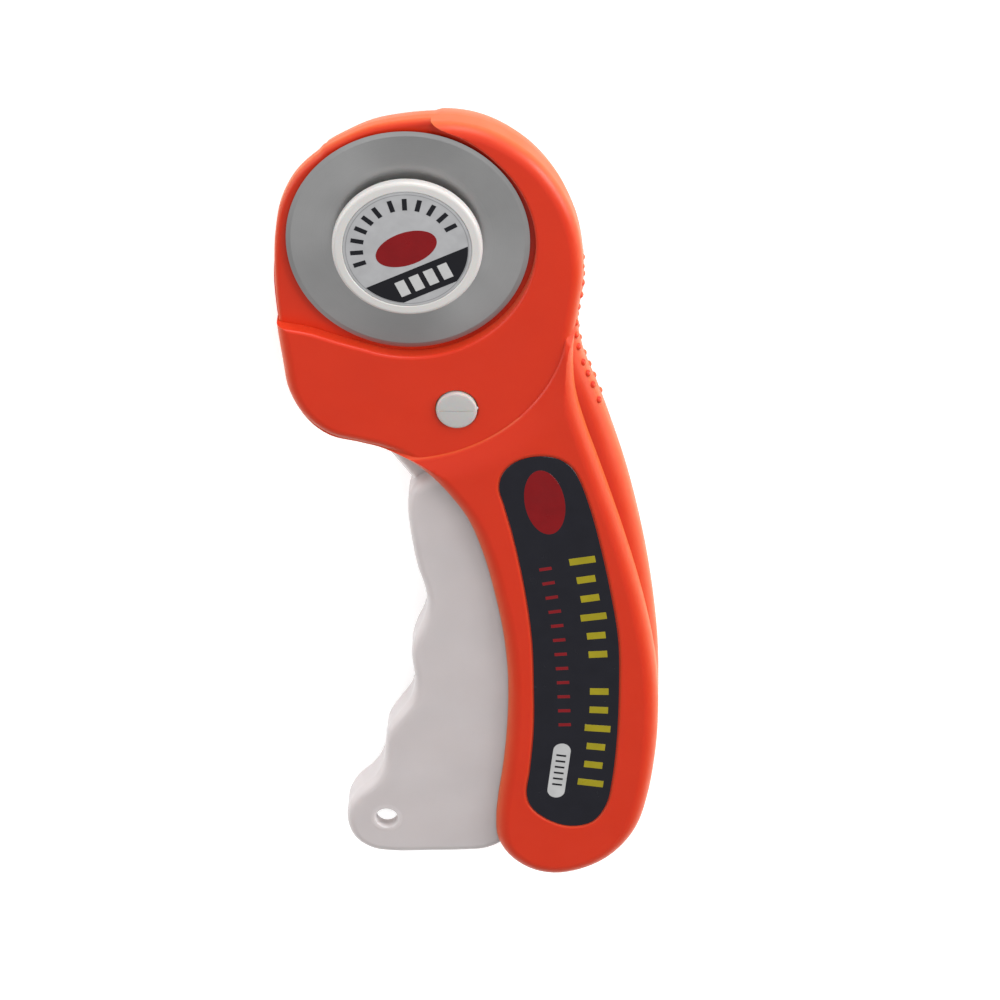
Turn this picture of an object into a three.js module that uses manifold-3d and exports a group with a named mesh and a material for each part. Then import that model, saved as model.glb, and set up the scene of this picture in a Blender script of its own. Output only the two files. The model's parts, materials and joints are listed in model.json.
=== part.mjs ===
// A squeeze-handle rotary cutter for cloth, with a 45 mm round blade.
//
// The cutter lies on its back: +Z points out of the blade's face, +Y towards the head, and +X towards the
// palm side. Everything is designed about the blade's axis, with z = 0 on the parting plane of the two
// housing halves, and the whole group is then moved so that its bottom centre is the origin. Millimetres.
//
// Squeezing the lever turns it about its pivot pin, which carries the blade out past the guard plate.
// A coil spring on the pivot brings it back, and a cross button locks it in either place.
import * as THREE from "three";
import { mergeVertices } from "three/addons/utils/BufferGeometryUtils.js";
import Module from "manifold-3d";

const wasm = await Module();
wasm.setup();

// ---------------------------------------------------------------- driving dimensions
const GAP = 0.3; // air kept between pieces that nearly touch
const FACETS = 24; // facets of a turned or round piece

const REAR_FACE = -10; // the flat back that the cutter lies on
const HEAD_FACE = 5.3; // front of the head, round the blade
const GRIP_FACE = 6.5; // front of the handle
const PLATE_FACE = 2.5; // guard plate behind the blade
const PARTING = 0.05; // half the parting gap
const WALL = 1.9; // housing wall
const REAR_FLOOR = REAR_FACE + 1.8;

const BLADE_RADIUS = 22.5;
const BLADE_BORE = 5;
const BLADE_BACK = 3.1;
const BLADE_FRONT = 3.4;
const POCKET_RADIUS = 23.6;

const PIVOT = new THREE.Vector2(-13.5, -31.5);
const SQUEEZE = THREE.MathUtils.degToRad(10); // full travel of the lever
const PIN_RADIUS = 1.5;

const ARM_BACK = -3;
const ARM_FRONT = 0.4;
const LEVER_BACK = -4;
const LEVER_FRONT = 4;
const LEVER_SKIN = 2;
const HANG_HOLE = { at: new THREE.Vector2(-5.3, -128.7), radius: 2.1 };

const LOCK = new THREE.Vector2(8.9, -34.7);
const LOCK_RADIUS = 3.85;
const LOCK_STEM = 1.8; // the thick stem that blocks the lever
const LOCK_WAIST = 0.9; // the thin stem that lets it pass
const LOCK_TRAVEL = 2.5;

const BOLT_RADIUS = 2.4;
const BOLT_SQUARE = 5;
const BOSS_RADIUS = 7;

// The handle's raised face ends at this arc on the head, and at a tip on the palm side.
// It starts with a small step and then ramps up. Below the head's face it runs on for a foot, so that the
// two rounded edges meet without a gap.
const CREASE = {
  at: new THREE.Vector2(-2.2, -13.5), radius: 32.1, facets: 72,
  tip: new THREE.Vector2(29.5, -19.5), tipTurn: THREE.MathUtils.degToRad(-60),
  stepWide: 0.4, stepHigh: 0.45, ramp: 6, foot: 3.5, drop: 2.5,
};

// Each screw is driven from the back into a blind boss of the front housing, up to bossTop.
const SCREWS = [
  { at: new THREE.Vector2(19, 8.5), bossTop: PLATE_FACE - 0.5 },
  { at: new THREE.Vector2(-8.5, 13.5), bossTop: PLATE_FACE - 0.5 },
  { at: new THREE.Vector2(28.6, -38), bossTop: GRIP_FACE - 1 },
  { at: new THREE.Vector2(41, -84), bossTop: GRIP_FACE - 1 },
  { at: new THREE.Vector2(33.4, -134.5), bossTop: GRIP_FACE - 1 },
];

// ---------------------------------------------------------------- outlines, anticlockwise from the front
const BODY_POINTS = [
  [8.8, 24.6], [3.5, 24.5], [-1.5, 23.9], [-7, 22.6], [-12.3, 20], [-16.7, 17.1], [-21, 12.6], [-23.8, 6.6],
  [-24.9, 0.2], [-25.2, -6.5], [-25, -13], [-24.4, -19.5], [-23.6, -25.6], [-22.6, -31.9], [-19.8, -37.4],
  [-15.2, -41.3], [-9.4, -42.9], [-5.2, -44], [-1.1, -45.9], [2.8, -48.8], [7.4, -54], [10.9, -59.4],
  [13.7, -67], [15.9, -76], [17.6, -85.5], [18.4, -95], [18.3, -104.5], [17.6, -114], [16.5, -122.5],
  [16.1, -128], [16.5, -132.6], [18.8, -136.8], [23, -139.9], [28, -140.9], [33.4, -139.7], [38, -137.1],
  [41.7, -133.2], [44.2, -128.6], [45.8, -122.5], [47, -114.5], [47.6, -106], [47.5, -97], [46.6, -88],
  [45, -79], [42.9, -70], [40.4, -61], [37.8, -52.5], [35.2, -44.5], [32.9, -37.5], [31.2, -31],
  [30.6, -25], [30.8, -19], [31.6, -13], [32.3, -6.5], [31.9, 0], [30.5, 6], [27.8, 11.8], [23.8, 17.1],
  [19, 21], [14, 23.5],
];
const SPINE_POINTS = [
  [32.3, -4], [32.4, -10], [31.6, -15], [31.4, -19.5], [32.5, -25], [35.1, -32], [37.8, -40],
  [41.2, -51.5], [45, -69.5], [47.3, -88.5], [47.7, -106],
];
const GRIP_POINTS = [
  [0.9, -52.6], [-0.3, -55.2], [-0.5, -58.5], [0.1, -64.5], [1.2, -71], [2.6, -75.8], [3, -79.3], [2.3, -83],
  [0.8, -86.6], [-0.1, -90.3], [0.2, -94], [0.5, -97], [-0.3, -101], [-2.6, -104.7], [-4.7, -108.3],
  [-5.4, -112.5], [-5.8, -116], [-7.6, -119.8], [-11, -123.3], [-12.8, -126.8], [-13, -130.5],
  [-11.6, -134.2], [-8.4, -136.6], [-4, -137.3], [3, -137.1], [10, -136.8], [14.5, -136.2], [18, -134],
  [19.8, -130], [20.4, -122], [21.2, -113], [21.8, -103], [21.6, -93], [20.6, -83.5], [18.6, -74],
  [15.8, -65.5], [12.5, -58], [10, -53.5], [8, -51], [5.5, -50.3], [3, -51.2],
];
const ARM_POINTS = [
  [2.5, -54], [0.9, -52.6], [-1.2, -49.8], [-4.2, -45.6], [-6.1, -42.2], [-9.6, -39], [-13, -37.2],
  [-16.6, -36], [-19, -33.6], [-19.6, -30.6], [-18.2, -26], [-14.5, -18], [-10, -9], [-7.4, -2], [-6.6, 3],
  [-3.2, 6.4], [2, 6.9], [6, 3.8], [7.2, -1.5], [8.2, -8], [10, -16], [12.5, -23.5], [15.2, -30],
  [15.6, -36], [14.5, -41.5], [13.5, -46], [12.5, -50.5], [10.5, -54.5], [6.5, -56],
];
const LABEL_POINTS = [
  [17.8, -54.7], [19.7, -62.4], [21.8, -73.6], [23.2, -84.9], [23.6, -96.4], [23.6, -105.7],
  [22.9, -115.1], [22.3, -121], [23.3, -124], [26.5, -126.8], [30.8, -128.2], [35.1, -127.1],
  [37.8, -123], [38.9, -117.1], [39.7, -107.7], [40, -96.1], [39.7, -84.6], [38, -73.3], [36, -63.3],
  [34.1, -55.5], [32.1, -49.4], [30.4, -46.3], [27.6, -44.4], [23.6, -44.1], [19.9, -45.4],
  [17.6, -47.9], [16.9, -51.2],
];
// Where the lever's arm leaves the head, and where its grip slides into the handle.
const ARM_SLOT = [
  [-7, -37], [-7, -52], [6, -60], [17, -60], [17, -37],
];
const GRIP_SLOT = [
  [2, -49.2], [-4, -52], [-16, -120], [-16, -138.4], [14.5, -138.2], [19.2, -136.9], [24, -134], [27, -120],
  [27, -70], [16, -48.5], [8, -47],
];

function smooth(points, count) {
  const corners = points.map(([x, y]) => new THREE.Vector3(x, y, 0));
  const curve = new THREE.CatmullRomCurve3(corners, true, "centripetal");
  return curve.getSpacedPoints(count).slice(0, count).map((p) => new THREE.Vector2(p.x, p.y));
}

// The outline moved inwards by a distance, along the normal at each point.
function inset(outline, distance) {
  return outline.map((p, i) => {
    const before = outline[(i + outline.length - 1) % outline.length];
    const after = outline[(i + 1) % outline.length];
    const along = after.clone().sub(before).normalize();
    return new THREE.Vector2(p.x - along.y * distance, p.y + along.x * distance);
  });
}

const BODY = smooth(BODY_POINTS, 84);
const GRIP = smooth(GRIP_POINTS, 66);
const ARM = smooth(ARM_POINTS, 36);
const LABEL = smooth(LABEL_POINTS, 40);

// The blade's pocket: an arc round the blade that opens past the head's edge on the cutting side.
function pocketOutline(grow) {
  const arc = [];
  const from = THREE.MathUtils.degToRad(-109);
  const to = THREE.MathUtils.degToRad(41);
  const steps = 22;
  for (let i = 0; i <= steps; i += 1) {
    const a = from + ((to - from) * i) / steps;
    arc.push([(POCKET_RADIUS + grow) * Math.cos(a), (POCKET_RADIUS + grow) * Math.sin(a)]);
  }
  const top = [[11, 22], [4.6, 25.6], [-2, 30]].map(([x, y]) => [x + grow, y + grow * 0.5]);
  const open = [[-34, 30], [-34, -15.6 - grow]];
  const low = [[-25.5, -17.9], [-18.6, -18.9], [-12.5, -20.9]].map(([x, y]) => [x, y - grow]);
  return [...arc, ...top, ...open, ...low];
}

// ---------------------------------------------------------------- solids
function solidOf(geometry) {
  const bare = geometry.index ? geometry.toNonIndexed() : geometry.clone();
  bare.deleteAttribute("normal");
  bare.deleteAttribute("uv");
  const merged = mergeVertices(bare, 1e-4);
  const index = merged.index.array;
  const kept = [];
  for (let i = 0; i < index.length; i += 3) {
    const [a, b, c] = [index[i], index[i + 1], index[i + 2]];
    if (a !== b && b !== c && c !== a) kept.push(a, b, c);
  }
  const vertProperties = merged.attributes.position.array;
  return new wasm.Manifold(new wasm.Mesh({ numProp: 3, vertProperties, triVerts: new Uint32Array(kept) }));
}

function geometryOf(solid) {
  const mesh = solid.getMesh();
  const geometry = new THREE.BufferGeometry();
  geometry.setAttribute("position", new THREE.BufferAttribute(mesh.vertProperties, 3));
  geometry.setIndex(new THREE.BufferAttribute(mesh.triVerts, 1));
  geometry.computeVertexNormals();
  return geometry;
}

const join = (...solids) => solids.reduce((all, s) => all.add(s));
const cut = (from, ...tools) => tools.reduce((left, tool) => left.subtract(tool), from);

function block(x0, y0, z0, x1, y1, z1) {
  const geometry = new THREE.BoxGeometry(x1 - x0, y1 - y0, z1 - z0);
  return solidOf(geometry.translate((x0 + x1) / 2, (y0 + y1) / 2, (z0 + z1) / 2));
}

function round(at, radius, low, high, facets = FACETS) {
  const geometry = new THREE.CylinderGeometry(radius, radius, high - low, facets).rotateX(Math.PI / 2);
  return solidOf(geometry.translate(at.x, at.y, (low + high) / 2));
}

// A turned piece about a vertical axis, from its profile of [radius, height] going up the outside.
function turned(at, profile, facets = FACETS) {
  const points = profile.map(([r, z]) => new THREE.Vector2(r, z));
  const geometry = new THREE.LatheGeometry(points, facets).rotateX(Math.PI / 2);
  return solidOf(geometry.translate(at.x, at.y, 0));
}

function prism(outline, low, high) {
  const shape = new THREE.Shape(outline.map((p) => (p.isVector2 ? p : new THREE.Vector2(...p))));
  const geometry = new THREE.ExtrudeGeometry(shape, { depth: high - low, bevelEnabled: false });
  return solidOf(geometry.translate(0, 0, low));
}

// A prism whose edges are rounded off at both ends by an ellipse, side by rise.
function rounded(outline, low, high, side, rise, steps = 3) {
  const geometry = new THREE.ExtrudeGeometry(new THREE.Shape(outline), {
    depth: high - low - 2 * rise,
    bevelSize: side,
    bevelThickness: rise,
    bevelOffset: -side,
    bevelSegments: steps,
  });
  return solidOf(geometry.translate(0, 0, low + rise));
}

// A closed solid through rings of equally many points, from the lowest to the highest.
function stacked(rings) {
  const count = rings[0].length;
  const top = (rings.length - 1) * count;
  const index = [];
  for (let below = 0; below < top; below += count) {
    for (let i = 0; i < count; i += 1) {
      const here = below + i;
      const next = below + ((i + 1) % count);
      index.push(here, next, next + count, here, next + count, here + count);
    }
  }
  for (const [a, b, c] of THREE.ShapeUtils.triangulateShape(rings[0], [])) {
    index.push(c, b, a);
  }
  for (const [a, b, c] of THREE.ShapeUtils.triangulateShape(rings[rings.length - 1], [])) {
    index.push(top + a, top + b, top + c);
  }
  const places = rings.flat().flatMap((p) => [p.x, p.y, p.z]);
  const geometry = new THREE.BufferGeometry();
  geometry.setAttribute("position", new THREE.Float32BufferAttribute(places, 3));
  geometry.setIndex(index);
  return solidOf(geometry);
}

const FAR = 200;
const below = (z) => block(-FAR, -FAR, z - FAR, FAR, FAR, z);
const above = (z) => block(-FAR, -FAR, z, FAR, FAR, z + FAR);
const ORIGIN = new THREE.Vector2(0, 0);

// Where a point fixed to the lever stands once the lever has turned by an angle.
const turnedWithLever = (point, angle) => point.clone().rotateAround(PIVOT, angle);

// A slot that lets something round on the lever travel its full way.
function travelSlot(at, radius, low, high, angle = SQUEEZE) {
  const end = turnedWithLever(at, angle);
  const along = end.clone().sub(at);
  const middle = at.clone().add(end).multiplyScalar(0.5);
  const bar = new THREE.BoxGeometry(along.length(), 2 * radius, high - low);
  bar.rotateZ(Math.atan2(along.y, along.x)).translate(middle.x, middle.y, (low + high) / 2);
  return join(round(at, radius, low, high), round(end, radius, low, high), solidOf(bar));
}

// ---------------------------------------------------------------- the two housing halves
// The ridge down the palm side, with the pips where the thumb rests. Both halves share it.
const SPINE = { back: -4.5, front: 3.9, edge: 3.6, root: 9.5 };
const PIPS = { count: 11, first: 0.02, last: 0.295, radius: 0.75, rows: 1.75, sunk: 0.5 };

function spine() {
  const corners = SPINE_POINTS.map(([x, y]) => new THREE.Vector3(x, y, 0));
  const curve = new THREE.CatmullRomCurve3(corners, false, "centripetal");
  const outer = curve.getSpacedPoints(16).map((p) => new THREE.Vector2(p.x, p.y));
  const inner = outer.map((p) => new THREE.Vector2(p.x - SPINE.root, p.y)).reverse();
  const ridge = rounded([...inner, ...outer].reverse(), SPINE.back, SPINE.front, SPINE.edge, SPINE.edge, 3);
  const pips = [];
  for (let i = 0; i < PIPS.count; i += 1) {
    const p = curve.getPointAt(THREE.MathUtils.lerp(PIPS.first, PIPS.last, i / (PIPS.count - 1)));
    for (const z of [-PIPS.rows, PIPS.rows]) {
      pips.push(solidOf(new THREE.IcosahedronGeometry(PIPS.radius, 0).translate(p.x - PIPS.sunk, p.y, z)));
    }
  }
  return join(ridge, ...pips);
}

// Everything within the crease arc, widening above the head's face so that the handle's face rises from it.
function creaseBowl() {
  const foot = CREASE.radius - CREASE.foot;
  const low = HEAD_FACE + CREASE.stepHigh;
  const profile = [
    [0, REAR_FACE], [foot, REAR_FACE], [foot, HEAD_FACE - CREASE.drop], [CREASE.radius, HEAD_FACE],
  ];
  const steps = 3;
  for (let i = 0; i <= steps; i += 1) {
    const along = THREE.MathUtils.lerp(CREASE.stepWide, CREASE.ramp, i / steps);
    const height = THREE.MathUtils.lerp(low, GRIP_FACE, Math.sin((Math.PI / 2) * (i / steps)));
    profile.push([CREASE.radius + along, height]);
  }
  profile.push([CREASE.radius + CREASE.ramp, GRIP_FACE + 1], [0, GRIP_FACE + 1]);
  return turned(CREASE.at, profile, CREASE.facets);
}

// Everything beyond a line through the crease's tip, with a ramp up to the handle's face.
function creaseTip(turn) {
  const high = GRIP_FACE + 1;
  const profile = [
    [-CREASE.ramp, high], [-CREASE.ramp, GRIP_FACE],
    [-CREASE.stepWide, HEAD_FACE + CREASE.stepHigh], [0, HEAD_FACE],
    [CREASE.foot, HEAD_FACE - CREASE.drop], [CREASE.foot, REAR_FACE],
    [FAR, REAR_FACE], [FAR, high],
  ];
  const shape = new THREE.Shape(profile.map(([y, z]) => new THREE.Vector2(y, z)));
  const geometry = new THREE.ExtrudeGeometry(shape, { depth: FAR, bevelEnabled: false });
  geometry.rotateX(Math.PI / 2).rotateZ(Math.PI / 2).translate(-FAR / 2, 0, 0);
  return solidOf(geometry.rotateZ(turn).translate(CREASE.tip.x, CREASE.tip.y, 0));
}

const SCREW = { head: 2.4, shank: 1.1, boss: 3, headBack: -9.2, headFront: -7.7, tip: 0, meet: -3.2 };
const BOSS_FACETS = 20;
const BORE_FACETS = 12;
const PIVOT_BOSS = { radius: 4, low: 0.75, boreTop: 3.1 };
const HEAD_EDGE = 2.4; // rounding of the head's front edge
const GRIP_EDGE = 3; // rounding of the handle's front edge
const PLATE_BACK = 0.7;
const LABEL_SEAT = GRIP_FACE - 0.25;
const HUB_SLOT = BLADE_BORE + 0.2;
const SLOT_ROOM = 0.4; // room behind and in front of the lever in its slots
const COLLAR = 1.6; // wall round the lock button

function frontHousing() {
  const face = rounded(BODY, -6, HEAD_FACE, HEAD_EDGE, HEAD_EDGE);
  const head = cut(face, below(PARTING), prism(pocketOutline(0), PLATE_FACE, FAR));
  const raised = rounded(BODY, -6, GRIP_FACE, GRIP_EDGE, GRIP_EDGE);
  const grip = cut(raised, below(PARTING), creaseBowl(), creaseTip(0), creaseTip(CREASE.tipTurn));
  const ridge = cut(spine(), below(PARTING));
  const inner = inset(BODY, WALL);
  const headHollow = cut(prism(inner, -1, HEAD_FACE - WALL), prism(pocketOutline(WALL), PLATE_BACK, FAR));
  const handleHollow = cut(
    rounded(inset(BODY, WALL + 0.3), -6, GRIP_FACE - WALL, 3, 3, 2),
    round(CREASE.at, CREASE.radius + WALL, -7, FAR, CREASE.facets),
    block(-FAR, CREASE.tip.y - WALL, -7, FAR, FAR, FAR),
  );
  const shell = cut(join(head, grip, ridge), headHollow, handleHollow);
  const bossLow = SCREW.meet + GAP;
  const bosses = SCREWS.map(({ at, bossTop }) => round(at, SCREW.boss, bossLow, bossTop, BOSS_FACETS));
  const bossRoom = join(above(PARTING), prism(inset(BODY, WALL + GAP), -7, 1));
  const lockCollar = round(LOCK, LOCK_RADIUS + COLLAR, 1, HEAD_FACE - 1);
  const pivotBoss = round(PIVOT, PIVOT_BOSS.radius, PIVOT_BOSS.low, HEAD_FACE - 1, BOSS_FACETS);
  return cut(
    join(shell, lockCollar, pivotBoss, join(...bosses).intersect(bossRoom)),
    ...SCREWS.map(({ at }) => round(at, SCREW.shank + GAP, -7, SCREW.tip + GAP, BORE_FACETS)),
    round(LOCK, LOCK_RADIUS + GAP, -1, FAR),
    round(PIVOT, PIN_RADIUS + GAP, -1, PIVOT_BOSS.boreTop, 16),
    travelSlot(ORIGIN, HUB_SLOT, -1, FAR),
    prism(ARM_SLOT, ARM_BACK - SLOT_ROOM, ARM_FRONT + GAP),
    prism(GRIP_SLOT, LEVER_BACK - SLOT_ROOM, LEVER_FRONT + SLOT_ROOM),
    prism(inset(LABEL, -GAP), LABEL_SEAT, FAR),
  );
}

// The rear half has a flat back and elliptic sides, which lean in further at the top of the head.
const LEAN = { side: 4, rise: 7, headSide: 9, headRise: 9.9, stepBack: 0.5, from: -12, to: 8, steps: 6 };

function rearTub(wall, floor, top) {
  const leans = BODY.map((p) => THREE.MathUtils.smoothstep(p.y, LEAN.from, LEAN.to));
  const rings = [];
  for (let k = 0; k <= LEAN.steps; k += 1) {
    const a = (Math.PI / 2) * (1 - k / LEAN.steps);
    const ring = BODY.map((p, i) => {
      const before = BODY[(i + BODY.length - 1) % BODY.length];
      const along = BODY[(i + 1) % BODY.length].clone().sub(before).normalize();
      const side = THREE.MathUtils.lerp(LEAN.side, LEAN.headSide, leans[i]);
      const rise = THREE.MathUtils.lerp(LEAN.rise, LEAN.headRise, leans[i]) - (floor - REAR_FACE);
      const inwards = wall + LEAN.stepBack * leans[i] + side * (1 - Math.cos(a));
      const height = floor + rise * (1 - Math.sin(a));
      return new THREE.Vector3(p.x - along.y * inwards, p.y + along.x * inwards, height);
    });
    rings.push(ring);
  }
  rings.push(rings[LEAN.steps].map((p) => new THREE.Vector3(p.x, p.y, top)));
  return stacked(rings);
}

const PIVOT_POST = { radius: 2.9, top: ARM_BACK - GAP };
const SPRING_POST = { at: PIVOT.clone().add(new THREE.Vector2(9.5, 5.7)), radius: 1.2, top: -6.4 };
const LOCK_DISH = { radius: 6.5, depth: 2.8, floor: 1.8 };
const BOLT_SLOT = { radius: 6.8, top: REAR_FLOOR + 3 };

function rearHousing() {
  const outside = rearTub(0, REAR_FACE, -PARTING);
  const ridge = cut(spine(), above(-PARTING));
  const shell = cut(join(outside, ridge), rearTub(WALL, REAR_FLOOR, 1));
  const low = REAR_FLOOR - 1;
  const bossTop = SCREW.meet - GAP;
  const bosses = SCREWS.map(({ at }) => round(at, SCREW.boss, low, bossTop, BOSS_FACETS));
  const pivotPost = round(PIVOT, PIVOT_POST.radius, low, PIVOT_POST.top, BOSS_FACETS);
  const springPost = round(SPRING_POST.at, SPRING_POST.radius, low, SPRING_POST.top, BORE_FACETS);
  const dishTop = REAR_FACE + LOCK_DISH.depth + LOCK_DISH.floor;
  const lockDish = round(LOCK, LOCK_DISH.radius + COLLAR, low, dishTop);
  const posts = join(pivotPost, springPost, lockDish, ...bosses).intersect(outside);
  return cut(
    join(shell, posts),
    ...SCREWS.map(({ at }) => round(at, SCREW.head + GAP, REAR_FACE - 1, SCREW.headFront + GAP, 16)),
    ...SCREWS.map(({ at }) => round(at, SCREW.shank + GAP, REAR_FACE, 1, BORE_FACETS)),
    round(LOCK, LOCK_DISH.radius, REAR_FACE - 1, REAR_FACE + LOCK_DISH.depth),
    round(LOCK, LOCK_RADIUS + GAP, REAR_FACE, 1),
    round(PIVOT, PIN_RADIUS + GAP, REAR_FLOOR, 1, 16),
    travelSlot(ORIGIN, BOLT_SLOT.radius, REAR_FACE - 1, BOLT_SLOT.top),
    prism(ARM_SLOT, ARM_BACK - 2 * GAP, 1),
    prism(GRIP_SLOT, LEVER_BACK - SLOT_ROOM, 1),
  );
}

// ---------------------------------------------------------------- lever
const LOCK_WEB = { back: -1.6, clear: 5.6 };
const SPRING_PEG = { at: PIVOT.clone().add(new THREE.Vector2(5.7, 10)), radius: 1.2 };
const RIBS = { rows: [-68, -86, -104, -121], half: 0.7, back: LEVER_BACK + 1, front: LEVER_FRONT - 1 };

function squeezeLever() {
  const grip = rounded(GRIP, LEVER_BACK, LEVER_FRONT, 1.6, 1.6, 3);
  const tray = prism(inset(GRIP, 2.2), LEVER_BACK - 1, LEVER_FRONT - LEVER_SKIN);
  const ribs = RIBS.rows.map((y) => block(-20, y - RIBS.half, RIBS.back, 30, y + RIBS.half, RIBS.front));
  const ribRoom = prism(inset(GRIP, 1), LEVER_BACK, LEVER_FRONT);
  const ribbed = join(cut(grip, tray), join(...ribs).intersect(ribRoom));
  const arm = prism(ARM, ARM_BACK, ARM_FRONT);
  const boss = round(ORIGIN, BOSS_RADIUS, -6.2, ARM_FRONT);
  const peg = round(SPRING_PEG.at, SPRING_PEG.radius, -5, ARM_BACK + 0.5, 12);
  const square = BOLT_SQUARE / 2 + GAP;
  const lockEnd = turnedWithLever(LOCK, -SQUEEZE);
  return cut(
    join(ribbed, arm, boss, peg),
    block(-square, -square, -8, square, square, 2),
    round(PIVOT, PIN_RADIUS + GAP, -8, 2, 16),
    travelSlot(LOCK, LOCK_WEB.clear, ARM_BACK - 1, LOCK_WEB.back, -SQUEEZE),
    round(LOCK, LOCK_STEM + GAP, -8, 2, 20),
    round(lockEnd, LOCK_STEM + GAP, -8, 2, 20),
    travelSlot(LOCK, LOCK_WAIST + GAP, -8, 2, -SQUEEZE),
    round(HANG_HOLE.at, HANG_HOLE.radius, -8, 8, 20),
  );
}

function leverPivotPin() {
  return round(PIVOT, PIN_RADIUS, -7.8, 2.8, 16);
}

// A torsion spring round the rear post. One leg bears on a housing post, the other on the lever's peg.
const SPRING = { radius: 3.8, wire: 0.4, turns: 3.75, low: -7.5, high: -4.3, leg: 11.5 };

class TorsionSpringPath extends THREE.Curve {
  getPoint(t, target = new THREE.Vector3()) {
    const turn = 2 * Math.PI * SPRING.turns;
    const total = turn * SPRING.radius + 2 * SPRING.leg;
    const along = t * total;
    const rise = THREE.MathUtils.clamp((along - SPRING.leg) / (turn * SPRING.radius), 0, 1);
    const angle = turn * (rise - 1);
    const straight = along < SPRING.leg ? along - SPRING.leg : Math.max(0, along - total + SPRING.leg);
    const x = PIVOT.x + SPRING.radius * Math.cos(angle) - straight * Math.sin(angle);
    const y = PIVOT.y + SPRING.radius * Math.sin(angle) + straight * Math.cos(angle);
    return target.set(x, y, THREE.MathUtils.lerp(SPRING.low, SPRING.high, rise));
  }
}

function returnSpring() {
  const section = new THREE.Shape();
  section.absarc(0, 0, SPRING.wire, 0, 2 * Math.PI);
  const geometry = new THREE.ExtrudeGeometry(section, {
    extrudePath: new TorsionSpringPath(),
    steps: 48,
    curveSegments: 3,
  });
  return solidOf(geometry);
}

// ---------------------------------------------------------------- lock
const STEM = { foot: -5.6, waistLow: -1.95, waistHigh: 0.7, capLow: 3.1, capHigh: 6 };
const REAR_CAP = { low: -7.3, high: -3.6, seat: -5.9 };

function lockButton() {
  return turned(LOCK, [
    [0, STEM.foot], [LOCK_STEM, STEM.foot], [LOCK_STEM, STEM.waistLow], [LOCK_WAIST, STEM.waistLow],
    [LOCK_WAIST, STEM.waistHigh], [LOCK_STEM, STEM.waistHigh], [LOCK_STEM, STEM.capLow],
    [LOCK_RADIUS, STEM.capLow], [LOCK_RADIUS, STEM.capHigh - 0.5], [LOCK_RADIUS - 0.5, STEM.capHigh],
    [0, STEM.capHigh],
  ]);
}

function lockButtonRearCap() {
  return turned(LOCK, [
    [0, REAR_CAP.low], [LOCK_RADIUS - 0.5, REAR_CAP.low], [LOCK_RADIUS, REAR_CAP.low + 0.5],
    [LOCK_RADIUS, REAR_CAP.high], [LOCK_STEM + GAP, REAR_CAP.high], [LOCK_STEM + GAP, REAR_CAP.seat],
    [0, REAR_CAP.seat],
  ]);
}

// ---------------------------------------------------------------- blade and its clamp, from back to front
function bladeBolt() {
  const head = turned(ORIGIN, [[0, -8.4], [3, -8.35], [5, -8], [6, -7.2], [6, -6.3], [0, -6.3]]);
  const half = BOLT_SQUARE / 2;
  const neck = block(-half, -half, -6.6, half, half, 2);
  return join(head, neck, round(ORIGIN, BOLT_RADIUS, 1, 5.9, 20));
}

const HUB = { back: 0.5, flangeBack: 2.6, flange: 7.6, seat: BLADE_BACK - 0.05, front: BLADE_FRONT - 0.05 };

function bladeHub() {
  const barrel = BLADE_BORE - GAP;
  const body = turned(ORIGIN, [
    [0, HUB.back], [barrel, HUB.back], [barrel, HUB.flangeBack], [HUB.flange, HUB.flangeBack],
    [HUB.flange, HUB.seat], [barrel, HUB.seat], [barrel, HUB.front], [0, HUB.front],
  ]);
  const square = BOLT_SQUARE / 2 + GAP;
  return cut(body, block(-square, -square, 0, square, square, 4));
}

function rotaryBlade() {
  const middle = (BLADE_BACK + BLADE_FRONT) / 2;
  const grind = BLADE_RADIUS - 1;
  const keen = 0.02; // half the edge's thickness
  return turned(ORIGIN, [
    [BLADE_BORE, BLADE_BACK], [grind, BLADE_BACK], [BLADE_RADIUS, middle - keen],
    [BLADE_RADIUS, middle + keen], [grind, BLADE_FRONT], [BLADE_BORE, BLADE_FRONT], [BLADE_BORE, BLADE_BACK],
  ], 64);
}

function springWasher() {
  return turned(ORIGIN, [[2.8, 3.7], [8.5, 3.45], [8.5, 3.85], [2.8, 4.15], [2.8, 3.7]]);
}

const KNOB = { back: 4.25, rimBack: 4.8, face: 6.8, radius: 13.9, labelRadius: 11.8, labelSeat: 6.6 };
const NUT = { corner: 5.2, low: 4.3, high: 6.1 };

function hexagon(corner, low, high) {
  return round(ORIGIN, corner, low, high, 6);
}

function bladeNutKnob() {
  const seat = KNOB.labelRadius + 0.25;
  const body = turned(ORIGIN, [
    [0, KNOB.back], [8.5, KNOB.back], [10.5, KNOB.rimBack], [13.2, KNOB.rimBack], [KNOB.radius, 5.4],
    [KNOB.radius - 0.1, KNOB.face - 0.5], [KNOB.radius - 0.6, KNOB.face], [seat, KNOB.face],
    [seat, KNOB.labelSeat], [0, KNOB.labelSeat],
  ], 40);
  return cut(body, hexagon(NUT.corner + GAP, 0, NUT.high + 0.1));
}

function nutInsert() {
  return cut(hexagon(NUT.corner, NUT.low, NUT.high), round(ORIGIN, BOLT_RADIUS + GAP, 0, 9, 20));
}

function knobLabel() {
  return round(ORIGIN, KNOB.labelRadius, KNOB.labelSeat + 0.02, KNOB.face - 0.04, 40);
}

function handleLabel() {
  return prism(LABEL, GRIP_FACE - 0.2, GRIP_FACE - 0.02);
}

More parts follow.
